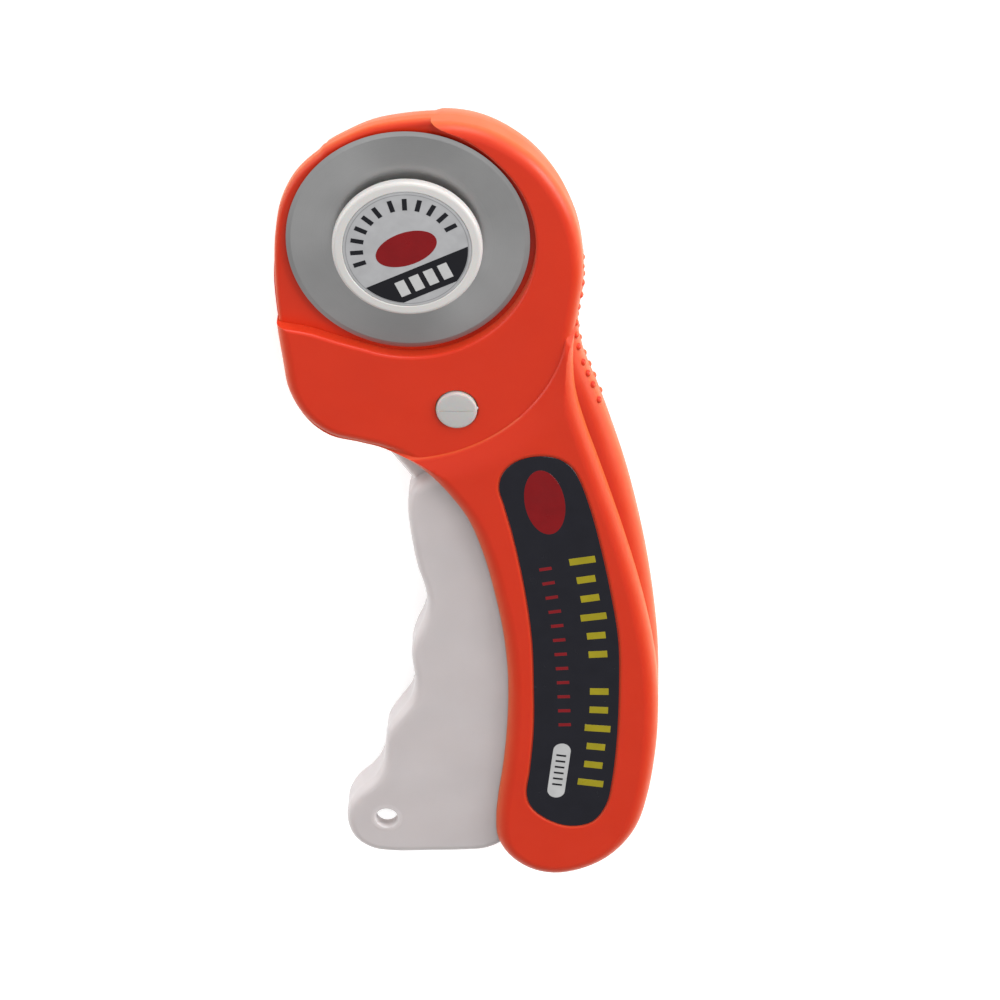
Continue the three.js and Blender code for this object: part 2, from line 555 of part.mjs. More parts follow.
function housingScrew(at) {
  const shaft = turned(at, [
    [0, SCREW.headBack], [SCREW.head, SCREW.headBack + 0.3], [SCREW.head, SCREW.headFront],
    [SCREW.shank, SCREW.headFront], [SCREW.shank, SCREW.tip - 1], [0, SCREW.tip],
  ], 14);
  const arm = 1.4;
  const bar = 0.35;
  const across = block(at.x - arm, at.y - bar, -12, at.x + arm, at.y + bar, SCREW.headBack + 0.8);
  const down = block(at.x - bar, at.y - arm, -12, at.x + bar, at.y + arm, SCREW.headBack + 0.8);
  return cut(shaft, across, down);
}

// ---------------------------------------------------------------- materials and assembly
function material(color, roughness, metalness = 0) {
  return new THREE.MeshStandardMaterial({ color, roughness, metalness });
}

const ORANGE = material(0xe8431a, 0.35);
const MILKY = material(0xd9d6d4, 0.4);
const OFF_WHITE = material(0xe6e4df, 0.35);
const BLADE_STEEL = material(0x9b9b9b, 0.32, 1);
const PLATED_STEEL = material(0xb8bbbf, 0.25, 1);
const SPRING_STEEL = material(0x8d9094, 0.3, 1);
const BLACK_FILM = material(0x1c1e22, 0.25);
const SILVER_FILM = material(0xc9cacc, 0.35);

const cutter = new THREE.Group();

function add(name, solid, finish) {
  const mesh = new THREE.Mesh(geometryOf(solid), finish);
  mesh.name = name;
  cutter.add(mesh);
}

add("front_housing", frontHousing(), ORANGE);
add("rear_housing", rearHousing(), ORANGE);
add("squeeze_lever", squeezeLever(), MILKY);
add("lever_pivot_pin", leverPivotPin(), PLATED_STEEL);
add("return_spring", returnSpring(), SPRING_STEEL);
add("lock_button", lockButton(), MILKY);
add("lock_button_rear_cap", lockButtonRearCap(), MILKY);
add("blade_bolt", bladeBolt(), PLATED_STEEL);
add("blade_hub", bladeHub(), OFF_WHITE);
add("rotary_blade", rotaryBlade(), BLADE_STEEL);
add("spring_washer", springWasher(), SPRING_STEEL);
add("blade_nut_knob", bladeNutKnob(), OFF_WHITE);
add("nut_insert", nutInsert(), PLATED_STEEL);
add("knob_label", knobLabel(), SILVER_FILM);
add("handle_label", handleLabel(), BLACK_FILM);
SCREWS.forEach(({ at }, i) => add(`housing_screw_${i + 1}`, housingScrew(at), PLATED_STEEL));

// The origin is the bottom centre of the whole cutter's bounding box.
const bounds = new THREE.Box3().setFromObject(cutter);
const middle = bounds.getCenter(new THREE.Vector3());
cutter.position.set(-middle.x, -middle.y, -bounds.min.z);

export default cutter;
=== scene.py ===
"""The looks of a squeeze-handle rotary cutter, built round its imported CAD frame.

Shapes are drawn in millimetres about the blade's axis, as the CAD part is, with z = 0 on the parting plane
of the two housing halves. Each piece is then scaled to metres and moved to where the frame has that axis.
"""

import json
import math

import bmesh
import bpy
from mathutils import Matrix, Vector


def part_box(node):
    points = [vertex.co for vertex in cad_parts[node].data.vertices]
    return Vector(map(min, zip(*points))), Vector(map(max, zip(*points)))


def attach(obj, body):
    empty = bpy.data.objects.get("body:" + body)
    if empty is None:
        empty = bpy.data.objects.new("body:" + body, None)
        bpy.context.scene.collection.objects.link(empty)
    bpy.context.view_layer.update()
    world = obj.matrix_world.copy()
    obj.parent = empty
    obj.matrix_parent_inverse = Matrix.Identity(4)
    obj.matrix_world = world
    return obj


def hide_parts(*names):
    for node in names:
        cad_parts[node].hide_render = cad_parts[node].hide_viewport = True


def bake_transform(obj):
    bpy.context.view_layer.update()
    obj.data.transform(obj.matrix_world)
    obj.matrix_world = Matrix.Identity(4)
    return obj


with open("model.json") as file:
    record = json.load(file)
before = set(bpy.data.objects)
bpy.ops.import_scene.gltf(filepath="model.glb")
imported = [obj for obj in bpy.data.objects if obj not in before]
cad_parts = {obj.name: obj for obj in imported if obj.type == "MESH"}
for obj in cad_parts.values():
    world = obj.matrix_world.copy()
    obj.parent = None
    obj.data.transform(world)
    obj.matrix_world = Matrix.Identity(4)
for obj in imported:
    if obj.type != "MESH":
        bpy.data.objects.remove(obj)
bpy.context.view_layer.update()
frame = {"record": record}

# ------------------------ dimensions, in mm
MM = 0.001
GAP = 0.3
SLIDE_FIT = 0.2
CLOSE_FIT = 0.1
REAR_FACE = -10.0
REAR_FLOOR = REAR_FACE + 1.8
HEAD_FACE = 5.3
GRIP_FACE = 6.5
PLATE_FACE = 2.5
PARTING = 0.05
WALL = 1.9

BLADE_RADIUS = 22.5
BLADE_BORE = 5.0
BLADE_BACK = 3.1
BLADE_FRONT = 3.4
POCKET_RADIUS = 23.6

ARM_BACK = -3.0
ARM_FRONT = 0.4
LEVER_BACK = -4.0
LEVER_FRONT = 4.0
LEVER_SKIN = 2.0
LEVER_WALL = 2.2
RIB_PLACES = (-68, -86, -104, -121)
RIB_HALF = 0.7
HANG_HOLE = (-5.3, -128.7)
HANG_HOLE_RADIUS = 2.1
PIN_RADIUS = 1.5
BOSS_RADIUS = 7
BOLT_SQUARE = 2.5
BOLT_HEAD = 6
BOLT_SLOT_WIDTH = 13.6

LOCK = (8.9, -34.7)
LOCK_RADIUS = 3.85
LOCK_STEM = 1.8
LOCK_WAIST = 0.9
LOCK_DISH_RADIUS = 6.5
LOCK_DISH_DEPTH = 2.8

CREASE = (-2.2, -13.5)
CREASE_RADIUS = 32.1
CREASE_STEP = (0.8, 0.45)
CREASE_RAMP = 6.0
RAMP_END = 0.4
CREASE_TIP = (29.3, -19.5)
CREASE_TIP_TURN = math.radians(-60)
CREASE_FOOT = 3.5
CREASE_DROP = 2.5
FAR = 400
DEEP = 40
HEAD_EDGE = 2.4
GRIP_EDGE = 3.0
PLATE_EDGE = 1.1
SOFT_EDGE = 0.5

SCREW_PLACES = [(19.0, 8.5), (-8.5, 13.5), (28.6, -38.0), (41.0, -84.0), (33.4, -134.5)]
SCREW_TOPS = [PLATE_FACE - 0.5, PLATE_FACE - 0.5, GRIP_FACE - 1, GRIP_FACE - 1, GRIP_FACE - 1]
SCREW_BOSS = 3
SCREW_HEAD = 2.4
SCREW_SHANK = 1.1
SCREW_ROOT = 0.85

# ------------------------ places, from the frame
blade_low, blade_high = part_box("rotary_blade")
HOME = Vector((
    (blade_low[0] + blade_high[0]) / 2,
    (blade_low[1] + blade_high[1]) / 2,
    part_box("rear_housing")[1][2] + PARTING * MM,
))
TO_FRAME = Matrix.Translation(HOME) @ Matrix.Scale(MM, 4)

joints = {joint["name"]: joint for joint in frame["record"]["behaviour"]["joints"]}
SQUEEZE = math.radians(joints["lever_squeeze"]["range_deg"][1])
pivot_place = (Vector(joints["lever_squeeze"]["pos_m"]) - HOME) / MM
PIVOT = (pivot_place.x, pivot_place.y)
SPRING_POST = (PIVOT[0] + 9.5, PIVOT[1] + 5.7)
SPRING_PEG = (PIVOT[0] + 5.7, PIVOT[1] + 10)
SPRING_STOP_RADIUS = 1.2

# ------------------------ outlines, anticlockwise from the front, in mm
BODY_POINTS = [
    (8.8, 24.6), (3.5, 24.5), (-1.5, 23.9), (-7, 22.6), (-12.3, 20), (-16.7, 17.1), (-21, 12.6),
    (-23.8, 6.6), (-24.9, 0.2), (-25.2, -6.5), (-25, -13), (-24.4, -19.5), (-23.6, -25.6), (-22.6, -31.9),
    (-19.8, -37.4), (-15.2, -41.3), (-9.4, -42.9), (-5.2, -44), (-1.1, -45.9), (2.8, -48.8), (7.4, -54),
    (10.9, -59.4), (13.7, -67), (15.9, -76), (17.6, -85.5), (18.4, -95), (18.3, -104.5), (17.6, -114),
    (16.5, -122.5), (16.1, -128), (16.5, -132.6), (18.8, -136.8), (23, -139.9), (28, -140.9),
    (33.4, -139.7), (38, -137.1), (41.7, -133.2), (44.2, -128.6), (45.8, -122.5), (47, -114.5),
    (47.6, -106), (47.5, -97), (46.6, -88), (45, -79), (42.9, -70), (40.4, -61), (37.8, -52.5),
    (35.2, -44.5), (32.9, -37.5), (31.2, -31), (30.6, -25), (30.8, -19), (31.6, -13), (32.3, -6.5),
    (31.9, 0), (30.5, 6), (27.8, 11.8), (23.8, 17.1), (19, 21), (14, 23.5),
]
SPINE_POINTS = [
    (32.3, -4), (32.4, -10), (31.6, -15), (31.4, -19.5), (32.5, -25), (35.1, -32), (37.8, -40),
    (41.2, -51.5), (45, -69.5), (47.3, -88.5), (47.7, -106),
]
GRIP_POINTS = [
    (0.9, -52.6), (-0.3, -55.2), (-0.5, -58.5), (0.1, -64.5), (1.2, -71), (2.6, -75.8), (3, -79.3),
    (2.3, -83), (0.8, -86.6), (-0.1, -90.3), (0.2, -94), (0.5, -97), (-0.3, -101), (-2.6, -104.7),
    (-4.7, -108.3), (-5.4, -112.5), (-5.8, -116), (-7.6, -119.8), (-11, -123.3), (-12.8, -126.8),
    (-13, -130.5), (-11.6, -134.2), (-8.4, -136.6), (-4, -137.3), (3, -137.1), (10, -136.8),
    (14.5, -136.2), (18, -134), (19.8, -130), (20.4, -122), (21.2, -113), (21.8, -103), (21.6, -93),
    (20.6, -83.5), (18.6, -74), (15.8, -65.5), (12.5, -58), (10, -53.5), (8, -51), (5.5, -50.3), (3, -51.2),
]
ARM_POINTS = [
    (2.5, -54), (0.9, -52.6), (-1.2, -49.8), (-4.2, -45.6), (-6.1, -42.2), (-9.6, -39), (-13, -37.2),
    (-16.6, -36), (-19, -33.6), (-19.6, -30.6), (-18.2, -26), (-14.5, -18), (-10, -9), (-7.4, -2),
    (-6.6, 3), (-3.2, 6.4), (2, 6.9), (6, 3.8), (7.2, -1.5), (8.2, -8), (10, -16), (12.5, -23.5),
    (15.2, -30), (15.6, -36), (14.5, -41.5), (13.5, -46), (12.5, -50.5), (10.5, -54.5), (6.5, -56),
]
LABEL_POINTS = [
    (17.8, -54.7), (19.7, -62.4), (21.8, -73.6), (23.2, -84.9), (23.6, -96.4), (23.6, -105.7),
    (22.9, -115.1), (22.3, -121), (23.3, -124), (26.5, -126.8), (30.8, -128.2), (35.1, -127.1),
    (37.8, -123), (38.9, -117.1), (39.7, -107.7), (40, -96.1), (39.7, -84.6), (38, -73.3), (36, -63.3),
    (34.1, -55.5), (32.1, -49.4), (30.4, -46.3), (27.6, -44.4), (23.6, -44.1), (19.9, -45.4),
    (17.6, -47.9), (16.9, -51.2),
]
POCKET_TOP = [(17.8, 15.5), (14.4, 18.9), (10.6, 21.6), (7, 23.3), (4, 24.8), (1.6, 27), (0.5, 31)]
POCKET_LOW = [(-36, -14.6), (-29, -16.9), (-24.8, -17.8), (-18.6, -18.9), (-12.8, -20.8), (-7.7, -22.3)]
ARM_SLOT = [(-7, -37), (-7, -52), (6, -60), (17, -60), (17, -37)]
GRIP_SLOT = [
    (2, -49.2), (-4, -52), (-16, -120), (-16, -138.4), (14.5, -138.2), (19.2, -136.9), (24, -134),
    (27, -120), (27, -70), (16, -48.5), (8, -47),
]


# ------------------------ curves
SPLINE_STEPS = 24
POCKET_ARC_START, POCKET_ARC_SWEEP, POCKET_ARC_STEPS = -109, 150, 90


def spline(points, count, closed=True):
    """Evenly spaced points along a centripetal Catmull-Rom curve."""
    corners = [Vector(p) for p in points]
    last = len(corners)
    if closed:
        chain = [corners[-1], *corners, corners[0], corners[1]]
    else:
        chain = [2 * corners[0] - corners[1], *corners, 2 * corners[-1] - corners[-2]]
        last -= 1
    dense = []
    for i in range(last):
        a, b, c, d = chain[i:i + 4]
        before, here, after = ((q - p).length ** 0.5 for p, q in ((a, b), (b, c), (c, d)))
        leave = ((b - a) / before - (c - a) / (before + here) + (c - b) / here) * here
        arrive = ((c - b) / here - (d - b) / (here + after) + (d - c) / after) * here
        for k in range(SPLINE_STEPS):
            t = k / SPLINE_STEPS
            start = 2 * t ** 3 - 3 * t ** 2 + 1
            dense.append(
                b * start + c * (1 - start) + leave * (t ** 3 - 2 * t ** 2 + t) + arrive * (t ** 3 - t ** 2)
            )
    dense.append(corners[0] if closed else corners[-1])
    reach = [0.0]
    for p, q in zip(dense, dense[1:]):
        reach.append(reach[-1] + (q - p).length)
    made = []
    at = 0
    for k in range(count if closed else count + 1):
        target = reach[-1] * k / count
        while at < len(reach) - 2 and reach[at + 1] < target:
            at += 1
        share = (target - reach[at]) / (reach[at + 1] - reach[at])
        made.append(dense[at].lerp(dense[at + 1], share))
    return made


def inset(outline, distances):
    """The outline moved inwards, by one distance or by one for each point."""
    count = len(outline)
    if not isinstance(distances, list):
        distances = [distances] * count
    moved = []
    for i, p in enumerate(outline):
        along = (outline[(i + 1) % count] - outline[i - 1]).normalized()
        moved.append(Vector((p.x - along.y * distances[i], p.y + along.x * distances[i])))
    return moved


def circle(at, radius, count=64):
    turns = (2 * math.pi * i / count for i in range(count))
    return [Vector((at[0] + radius * math.cos(a), at[1] + radius * math.sin(a))) for a in turns]


def oval(at, length, width, tilt, count=64):
    """An ellipse whose long axis is turned by tilt degrees from +X."""
    turn = Matrix.Rotation(math.radians(tilt), 2)
    round_points = circle((0, 0), 1, count)
    return [Vector(at) + turn @ Vector((p.x * length / 2, p.y * width / 2)) for p in round_points]


def capsule(start, end, width, count=12):
    """A straight bar with round ends."""
    a, b = Vector(start), Vector(end)
    heading = math.atan2(b.y - a.y, b.x - a.x)
    outline = []
    for centre, first in ((b, heading - math.pi / 2), (a, heading + math.pi / 2)):
        for i in range(count + 1):
            angle = first + math.pi * i / count
            outline.append(centre + Vector((math.cos(angle), math.sin(angle))) * width / 2)
    return outline


def bar(at, along, length, width):
    """A plain rectangle centred on a point, its length along a direction."""
    ahead = Vector(along).normalized() * length / 2
    aside = Vector((-ahead.y, ahead.x)).normalized() * width / 2
    centre = Vector(at)
    return [centre - ahead - aside, centre + ahead - aside, centre + ahead + aside, centre - ahead + aside]


def quarter(start, end, steps=8, upright_first=True):
    """Points of (inset, z) on a quarter ellipse from start to end, without start itself."""
    made = []
    for i in range(1, steps + 1):
        a = math.pi / 2 * i / steps
        slow, fast = 1 - math.cos(a), math.sin(a)
        side, rise = (slow, fast) if upright_first else (fast, slow)
        made.append((start[0] + (end[0] - start[0]) * side, start[1] + (end[1] - start[1]) * rise))
    return made


BODY = spline(BODY_POINTS, 300)
GRIP = spline(GRIP_POINTS, 260)
ARM = spline(ARM_POINTS, 120)
LABEL = spline(LABEL_POINTS, 160)


def pocket_outline():
    arc = []
    for i in range(POCKET_ARC_STEPS + 1):
        a = math.radians(POCKET_ARC_START + POCKET_ARC_SWEEP * i / POCKET_ARC_STEPS)
        arc.append(Vector((POCKET_RADIUS * math.cos(a), POCKET_RADIUS * math.sin(a))))
    top = spline(POCKET_TOP, 40, closed=False)[1:]
    low = spline(POCKET_LOW, 40, closed=False)[:-1]
    return [*arc, *top, Vector((-36, 32)), *low]


# ------------------------ solids, in mm
def solid(verts, faces):
    mesh = bpy.data.meshes.new("solid")
    mesh.from_pydata([tuple(v) for v in verts], [], faces)
    work = bmesh.new()
    work.from_mesh(mesh)
    bmesh.ops.recalc_face_normals(work, faces=work.faces)
    work.to_mesh(mesh)
    work.free()
    made = bpy.data.objects.new("solid", mesh)
    bpy.context.scene.collection.objects.link(made)
    return made


def stacked(rings):
    """A closed solid through rings of equally many points, capped at both ends."""
    count = len(rings[0])
    verts = [p for ring in rings for p in ring]
    faces = [list(range(count))]
    for r in range(len(rings) - 1):
        for i in range(count):
            j = (i + 1) % count
            faces.append((r * count + i, r * count + j, (r + 1) * count + j, (r + 1) * count + i))
    top = (len(rings) - 1) * count
    faces.append([top + i for i in range(count)])
    return solid(verts, faces)


def loft(outline, profile):
    """The outline raised through a profile of (inset, z)."""
    return stacked([[(p.x, p.y, z) for p in inset(outline, inwards)] for inwards, z in profile])


def prism(outline, low, high):
    return stacked([[(p[0], p[1], z) for p in outline] for z in (low, high)])


def block(half, low, high):
    """A square block centred on the blade's axis."""
    return prism([(-half, -half), (half, -half), (half, half), (-half, half)], low, high)


def round_bar(at, radius, low, high, count=48):
    return prism(circle(at, radius, count), low, high)


def turned(at, profile, count=96):
    """A turned solid from (radius, z), a profile that ends on the axis or else closes on itself."""
    verts = []
    rings = []
    for radius, z in profile:
        if radius < 1e-6:
            rings.append([len(verts)])
            verts.append((at[0], at[1], z))
        else:
            rings.append(list(range(len(verts), len(verts) + count)))
            verts.extend((p.x, p.y, z) for p in circle(at, radius, count))
    pairs = list(zip(rings, rings[1:]))
    if len(rings[0]) > 1:
        pairs.append((rings[-1], rings[0]))
    faces = []
    for lower, upper in pairs:
        for i in range(count):
            j = (i + 1) % count
            if len(lower) == 1 and len(upper) > 1:
                faces.append((lower[0], upper[i], upper[j]))
            elif len(upper) == 1 and len(lower) > 1:
                faces.append((lower[i], lower[j], upper[0]))
            elif len(lower) > 1:
                faces.append((lower[i], lower[j], upper[j], upper[i]))
    return solid(verts, faces)


def combine(operation, target, tools):
    """The target joined with, or cut by, the tools, which are used up."""
    for tool in tools:
        step = target.modifiers.new("step", "BOOLEAN")
        step.operation = operation
        step.solver = "MANIFOLD"
        step.object = tool
    done = bpy.data.meshes.new_from_object(target.evaluated_get(bpy.context.evaluated_depsgraph_get()))
    target.modifiers.clear()
    target.data = done
    for tool in tools:
        bpy.data.objects.remove(tool)
    return target


def join(target, *tools):
    return combine("UNION", target, tools)


def cut(target, *tools):
    return combine("DIFFERENCE", target, tools)


def turned_with_lever(point, angle):
    centre = Vector(PIVOT)
    return centre + Matrix.Rotation(angle, 2) @ (Vector(point) - centre)


def travel_slot(at, radius, low, high, angle=SQUEEZE):
    return prism(capsule(at, turned_with_lever(at, angle), 2 * radius, 16), low, high)


# ------------------------ materials
ORANGE_FACE = (0.545, 0.021, 0.001)
ORANGE_SHADE = (0.52, 0.019, 0.0008)
# The next colour is a painted sheen: the paler orange painted on upright walls for the light of the bright
# surround.
ORANGE_PAINTED_SHEEN = (0.54, 0.085, 0.014)
# How far a wall faces up, as its normal's z, where its painted sheen is strongest and where there is none.
PAINTED_SHEEN_FULL, PAINTED_SHEEN_NONE = 0.25, 0.98
RING_WIDTH = 0.22


def principled(name, color, roughness, **sockets):
    """A material with its Principled shader, and an (x, y, z) texture coordinate in metres."""
    material = bpy.data.materials.new(name)
    material.use_nodes = True
    shader = material.node_tree.nodes["Principled BSDF"]
    shader.inputs["Base Color"].default_value = (*color, 1)
    shader.inputs["Roughness"].default_value = roughness
    for socket, value in sockets.items():
        shader.inputs[socket.replace("_", " ")].default_value = value
    place = material.node_tree.nodes.new("ShaderNodeTexCoord").outputs["Object"]
    return material, shader, place


def noise(material, place, size_mm, detail=3.0, stretch=(1, 1, 1)):
    """A noise whose features are about size_mm across, stretched along an axis by a small scale there."""
    tree = material.node_tree
    mapping = tree.nodes.new("ShaderNodeMapping")
    mapping.inputs["Scale"].default_value = stretch
    tree.links.new(place, mapping.inputs["Vector"])
    made = tree.nodes.new("ShaderNodeTexNoise")
    made.inputs["Scale"].default_value = 1 / (size_mm * MM)
    made.inputs["Detail"].default_value = detail
    tree.links.new(mapping.outputs["Vector"], made.inputs["Vector"])
    return made.outputs["Fac"]


def ramp(material, value, low, high, start=0.3, stop=0.7):
    """Maps a noise's values between start and stop to a range."""
    made = material.node_tree.nodes.new("ShaderNodeMapRange")
    made.inputs["From Min"].default_value = start
    made.inputs["From Max"].default_value = stop
    made.inputs["To Min"].default_value = low
    made.inputs["To Max"].default_value = high
    material.node_tree.links.new(value, made.inputs["Value"])
    return made.outputs["Result"]


def mix(material, value, first, second):
    made = material.node_tree.nodes.new("ShaderNodeMix")
    made.data_type = "RGBA"
    made.inputs["A"].default_value = (*first, 1)
    made.inputs["B"].default_value = (*second, 1)
    material.node_tree.links.new(value, made.inputs["Factor"])
    return made.outputs["Result"]


def painted_wall_sheen(material, color, dark):
    """Upright walls are painted paler than the flat faces: a painted sheen that stands in for the light of
    the bright surround.
    """
    tree = material.node_tree
    base = tree.nodes["Principled BSDF"].inputs["Base Color"]
    flat = base.links[0].from_socket
    normal = tree.nodes.new("ShaderNodeNewGeometry").outputs["Normal"]
    parts = tree.nodes.new("ShaderNodeSeparateXYZ")
    tree.links.new(normal, parts.inputs[0])
    facing = tree.nodes.new("ShaderNodeMath")
    facing.operation = "ABSOLUTE"
    tree.links.new(parts.outputs["Z"], facing.inputs[0])
    share = ramp(material, facing.outputs[0], 1, 0, PAINTED_SHEEN_FULL, PAINTED_SHEEN_NONE)
    shade = mix(material, share, dark, color)
    tree.links.new(flat, shade.node.inputs["A"])
    tree.links.new(shade, base)


def bump(material, shader, height, depth_mm, strength=1.0, after=None):
    made = material.node_tree.nodes.new("ShaderNodeBump")
    made.inputs["Strength"].default_value = strength
    made.inputs["Distance"].default_value = depth_mm * MM
    material.node_tree.links.new(height, made.inputs["Height"])
    if after:
        material.node_tree.links.new(after, made.inputs["Normal"])
    material.node_tree.links.new(made.outputs["Normal"], shader.inputs["Normal"])
    return made.outputs["Normal"]


def shaded(color, share):
    return tuple(share * c for c in color)


def stained(material, shader, value, dark, color):
    """Varies the base color between two by a noise's value."""
    blend = mix(material, ramp(material, value, 0, 1), dark, color)
    material.node_tree.links.new(blend, shader.inputs["Base Color"])


def uneven_gloss(material, shader, value, low, high):
    material.node_tree.links.new(ramp(material, value, low, high), shader.inputs["Roughness"])


def moulded(name, color, dark, roughness, grain_mm=0.35, grain_depth=0.004, **sockets):
    """Moulded plastic: broad flow marks in its colour and gloss, fine grain, and a few faint scuffs."""
    material, shader, place = principled(name, color, roughness, **sockets)
    stained(material, shader, noise(material, place, 14, detail=2), dark, color)
    rub = noise(material, place, 5, detail=5)
    uneven_gloss(material, shader, rub, roughness - 0.05, roughness + 0.07)
    grain = bump(material, shader, noise(material, place, grain_mm, detail=2), grain_depth, 0.5)
    scuffs = ramp(material, noise(material, place, 1.2, 4, (1, 0.06, 1)), 0, 1, 0.66, 0.8)
    bump(material, shader, scuffs, -0.006, 0.5, after=grain)
    return material


def printed(name, color, roughness=0.25, coat=0.5):
    """Ink or film under a clear coat, with a slight ripple and uneven gloss."""
    material, shader, place = principled(
        name, color, roughness, Coat_Weight=coat, Coat_Roughness=0.08, Specular_IOR_Level=0.25)
    stained(material, shader, noise(material, place, 3, 4), shaded(color, 0.86), color)
    uneven_gloss(material, shader, noise(material, place, 4, 4), roughness - 0.04, roughness + 0.06)
    bump(material, shader, noise(material, place, 6, 1), 0.02, 0.25)
    return material


def metal(name, color, roughness, size_mm=0.5, stretch=(1, 1, 1), depth=0.003):
    """Plated or drawn metal with fine scratches and a little staining."""
    material, shader, place = principled(name, color, roughness, Metallic=1.0)
    stain = noise(material, place, 3.5, 4)
    stained(material, shader, stain, shaded(color, 0.8), color)
    uneven_gloss(material, shader, stain, roughness + 0.08, roughness - 0.04)
    bump(material, shader, noise(material, place, size_mm, 3, stretch), depth, 0.4)
    return material


def vector_math(tree, operation, vector, other=(0, 0, 0)):
    """The outputs of a vector operation on an input and a fixed vector."""
    made = tree.nodes.new("ShaderNodeVectorMath")
    made.operation = operation
    made.inputs[1].default_value = other
    tree.links.new(vector, made.inputs[0])
    return made.outputs


def ground_steel(name, color, roughness):
    """Steel lapped in circles round the blade's axis: fine rings, with faint stains."""
    material, shader, place = principled(name, color, roughness, Metallic=1.0, Anisotropic=0.65)
    tree = material.node_tree
    away = vector_math(tree, "SUBTRACT", place, (HOME.x, HOME.y, 0))["Vector"]
    flat = vector_math(tree, "MULTIPLY", away, (1, 1, 0))["Vector"]
    around = vector_math(tree, "CROSS_PRODUCT", flat, (0, 0, 1))["Vector"]
    to_world = tree.nodes.new("ShaderNodeVectorTransform")
    to_world.vector_type = "VECTOR"
    to_world.convert_from = "OBJECT"
    to_world.convert_to = "WORLD"
    tree.links.new(around, to_world.inputs[0])
    tree.links.new(to_world.outputs[0], shader.inputs["Tangent"])
    rings = tree.nodes.new("ShaderNodeTexNoise")
    rings.noise_dimensions = "1D"
    rings.inputs["Scale"].default_value = 1 / (RING_WIDTH * MM)
    rings.inputs["Detail"].default_value = 3
    tree.links.new(vector_math(tree, "LENGTH", flat)["Value"], rings.inputs["W"])
    stained(material, shader, noise(material, place, 6, 4), shaded(color, 0.93), color)
    uneven_gloss(material, shader, rings.outputs["Fac"], roughness - 0.05, roughness + 0.06)
    bump(material, shader, rings.outputs["Fac"], 0.002, 0.35)
    return material


def orange_plastic(name):
    return moulded(
        name, ORANGE_FACE, ORANGE_SHADE, 0.42, Specular_IOR_Level=0.36,
        Subsurface_Weight=0.3, Subsurface_Scale=0.002, Subsurface_Radius=(1.0, 0.4, 0.15),
        Sheen_Weight=0.12, Sheen_Roughness=0.45, Sheen_Tint=(1.0, 0.85, 0.5, 1.0),
    )


ORANGE = orange_plastic("orange_plastic")
ORANGE_INSIDE = orange_plastic("orange_plastic_inside")
# The housing's upright walls get a painted sheen, paler than its flat faces.
painted_wall_sheen(ORANGE, ORANGE_PAINTED_SHEEN, ORANGE_FACE)
MILKY = moulded(
    "milky_plastic", (0.50, 0.465, 0.465), (0.47, 0.435, 0.435), 0.38, grain_mm=0.6, grain_depth=0.006,
    Subsurface_Weight=0.75, Subsurface_Scale=0.004, Subsurface_Radius=(1.0, 0.9, 0.85),
)
WHITE = moulded(
    "white_plastic", (0.53, 0.515, 0.50), (0.51, 0.495, 0.48), 0.34,
    Subsurface_Weight=0.15, Subsurface_Scale=0.001,
)
BUTTON = moulded(
    "button_plastic", (0.42, 0.405, 0.395), (0.40, 0.385, 0.375), 0.36,
    Subsurface_Weight=0.5, Subsurface_Scale=0.002,
)
BLADE_STEEL = ground_steel("blade_steel", (0.41, 0.41, 0.41), 0.44)
EDGE_STEEL = ground_steel("edge_steel", (0.40, 0.40, 0.40), 0.44)
PLATED = metal("plated_steel", (0.66, 0.67, 0.69), 0.24)
WIRE = metal("spring_wire", (0.50, 0.51, 0.53), 0.30, stretch=(1, 1, 0.3))
BLACK_FILM = printed("black_film", (0.010, 0.010, 0.015), 0.22, coat=0.15)
SILVER_FILM = printed("silver_film", (0.37, 0.37, 0.378), 0.32, coat=0.1)
RED_INK = printed("red_ink", (0.19, 0.002, 0.004), 0.30, coat=0.1)
GREY_INK = printed("grey_ink", (0.25, 0.25, 0.255), 0.30, coat=0.2)
YELLOW_INK = printed("yellow_ink", (0.30, 0.25, 0.008), 0.30, coat=0.2)
DIM_RED_INK = printed("dim_red_ink", (0.20, 0.006, 0.010), 0.30, coat=0.1)
DARK_INK = printed("dark_ink", (0.006, 0.006, 0.009), 0.34, coat=0.05)
LIGHT_INK = printed("light_ink", (0.46, 0.46, 0.46), 0.30, coat=0.1)


# ------------------------ finishing a piece
def finish(piece, name, body, material, replaced=(), sharp=32, twist=()):
    """Moves a piece from mm to the frame, shades it and puts it on a body, or, given a twist, leaves it
    where it is on no body.
    """
    piece.name = name
    piece.data.name = name
    piece.data.transform(TO_FRAME)
    for polygon in piece.data.polygons:
        polygon.use_smooth = True
    piece.data.set_sharp_from_angle(angle=math.radians(sharp))
    shading = piece.modifiers.new("weighted", "WEIGHTED_NORMAL")
    shading.keep_sharp = True
    shading.weight = 80
    piece.data.materials.clear()
    piece.data.materials.append(material)
    if twist:
        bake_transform(piece)
    else:
        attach(piece, body)
    if replaced:
        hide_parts(*replaced)
    return piece


def plain_inside(piece, material, head_end):
    """The head's walls that face the blade keep the colour of the flat faces, without the painted sheen of
    the other walls.
    """
    piece.data.materials.append(material)
    for polygon in piece.data.polygons:
        away = polygon.center - HOME
        faces_blade = away.x * polygon.normal.x + away.y * polygon.normal.y < 0
        if faces_blade and away.y > head_end:
            polygon.material_index = 1


def film(outline, low, high, name, body, material, replaced=()):
    """A thin printed shape with a slightly softened edge."""
    soft = min(0.03, (high - low) / 2)
    made = loft(outline, [(0, low), (0, high - soft), (soft, high)])
    return finish(made, name, body, material, replaced)


# ------------------------ the housing halves
SPINE_BACK, SPINE_FRONT, SPINE_EDGE, SPINE_ROOT = -4.5, 3.9, 3.6, 9.5
PIP_COUNT, PIP_FIRST, PIP_LAST, PIP_RADIUS, PIP_ROW = 11, 0.02, 0.295, 0.75, 1.75
spine_edge = spline(SPINE_POINTS, 121, closed=False)


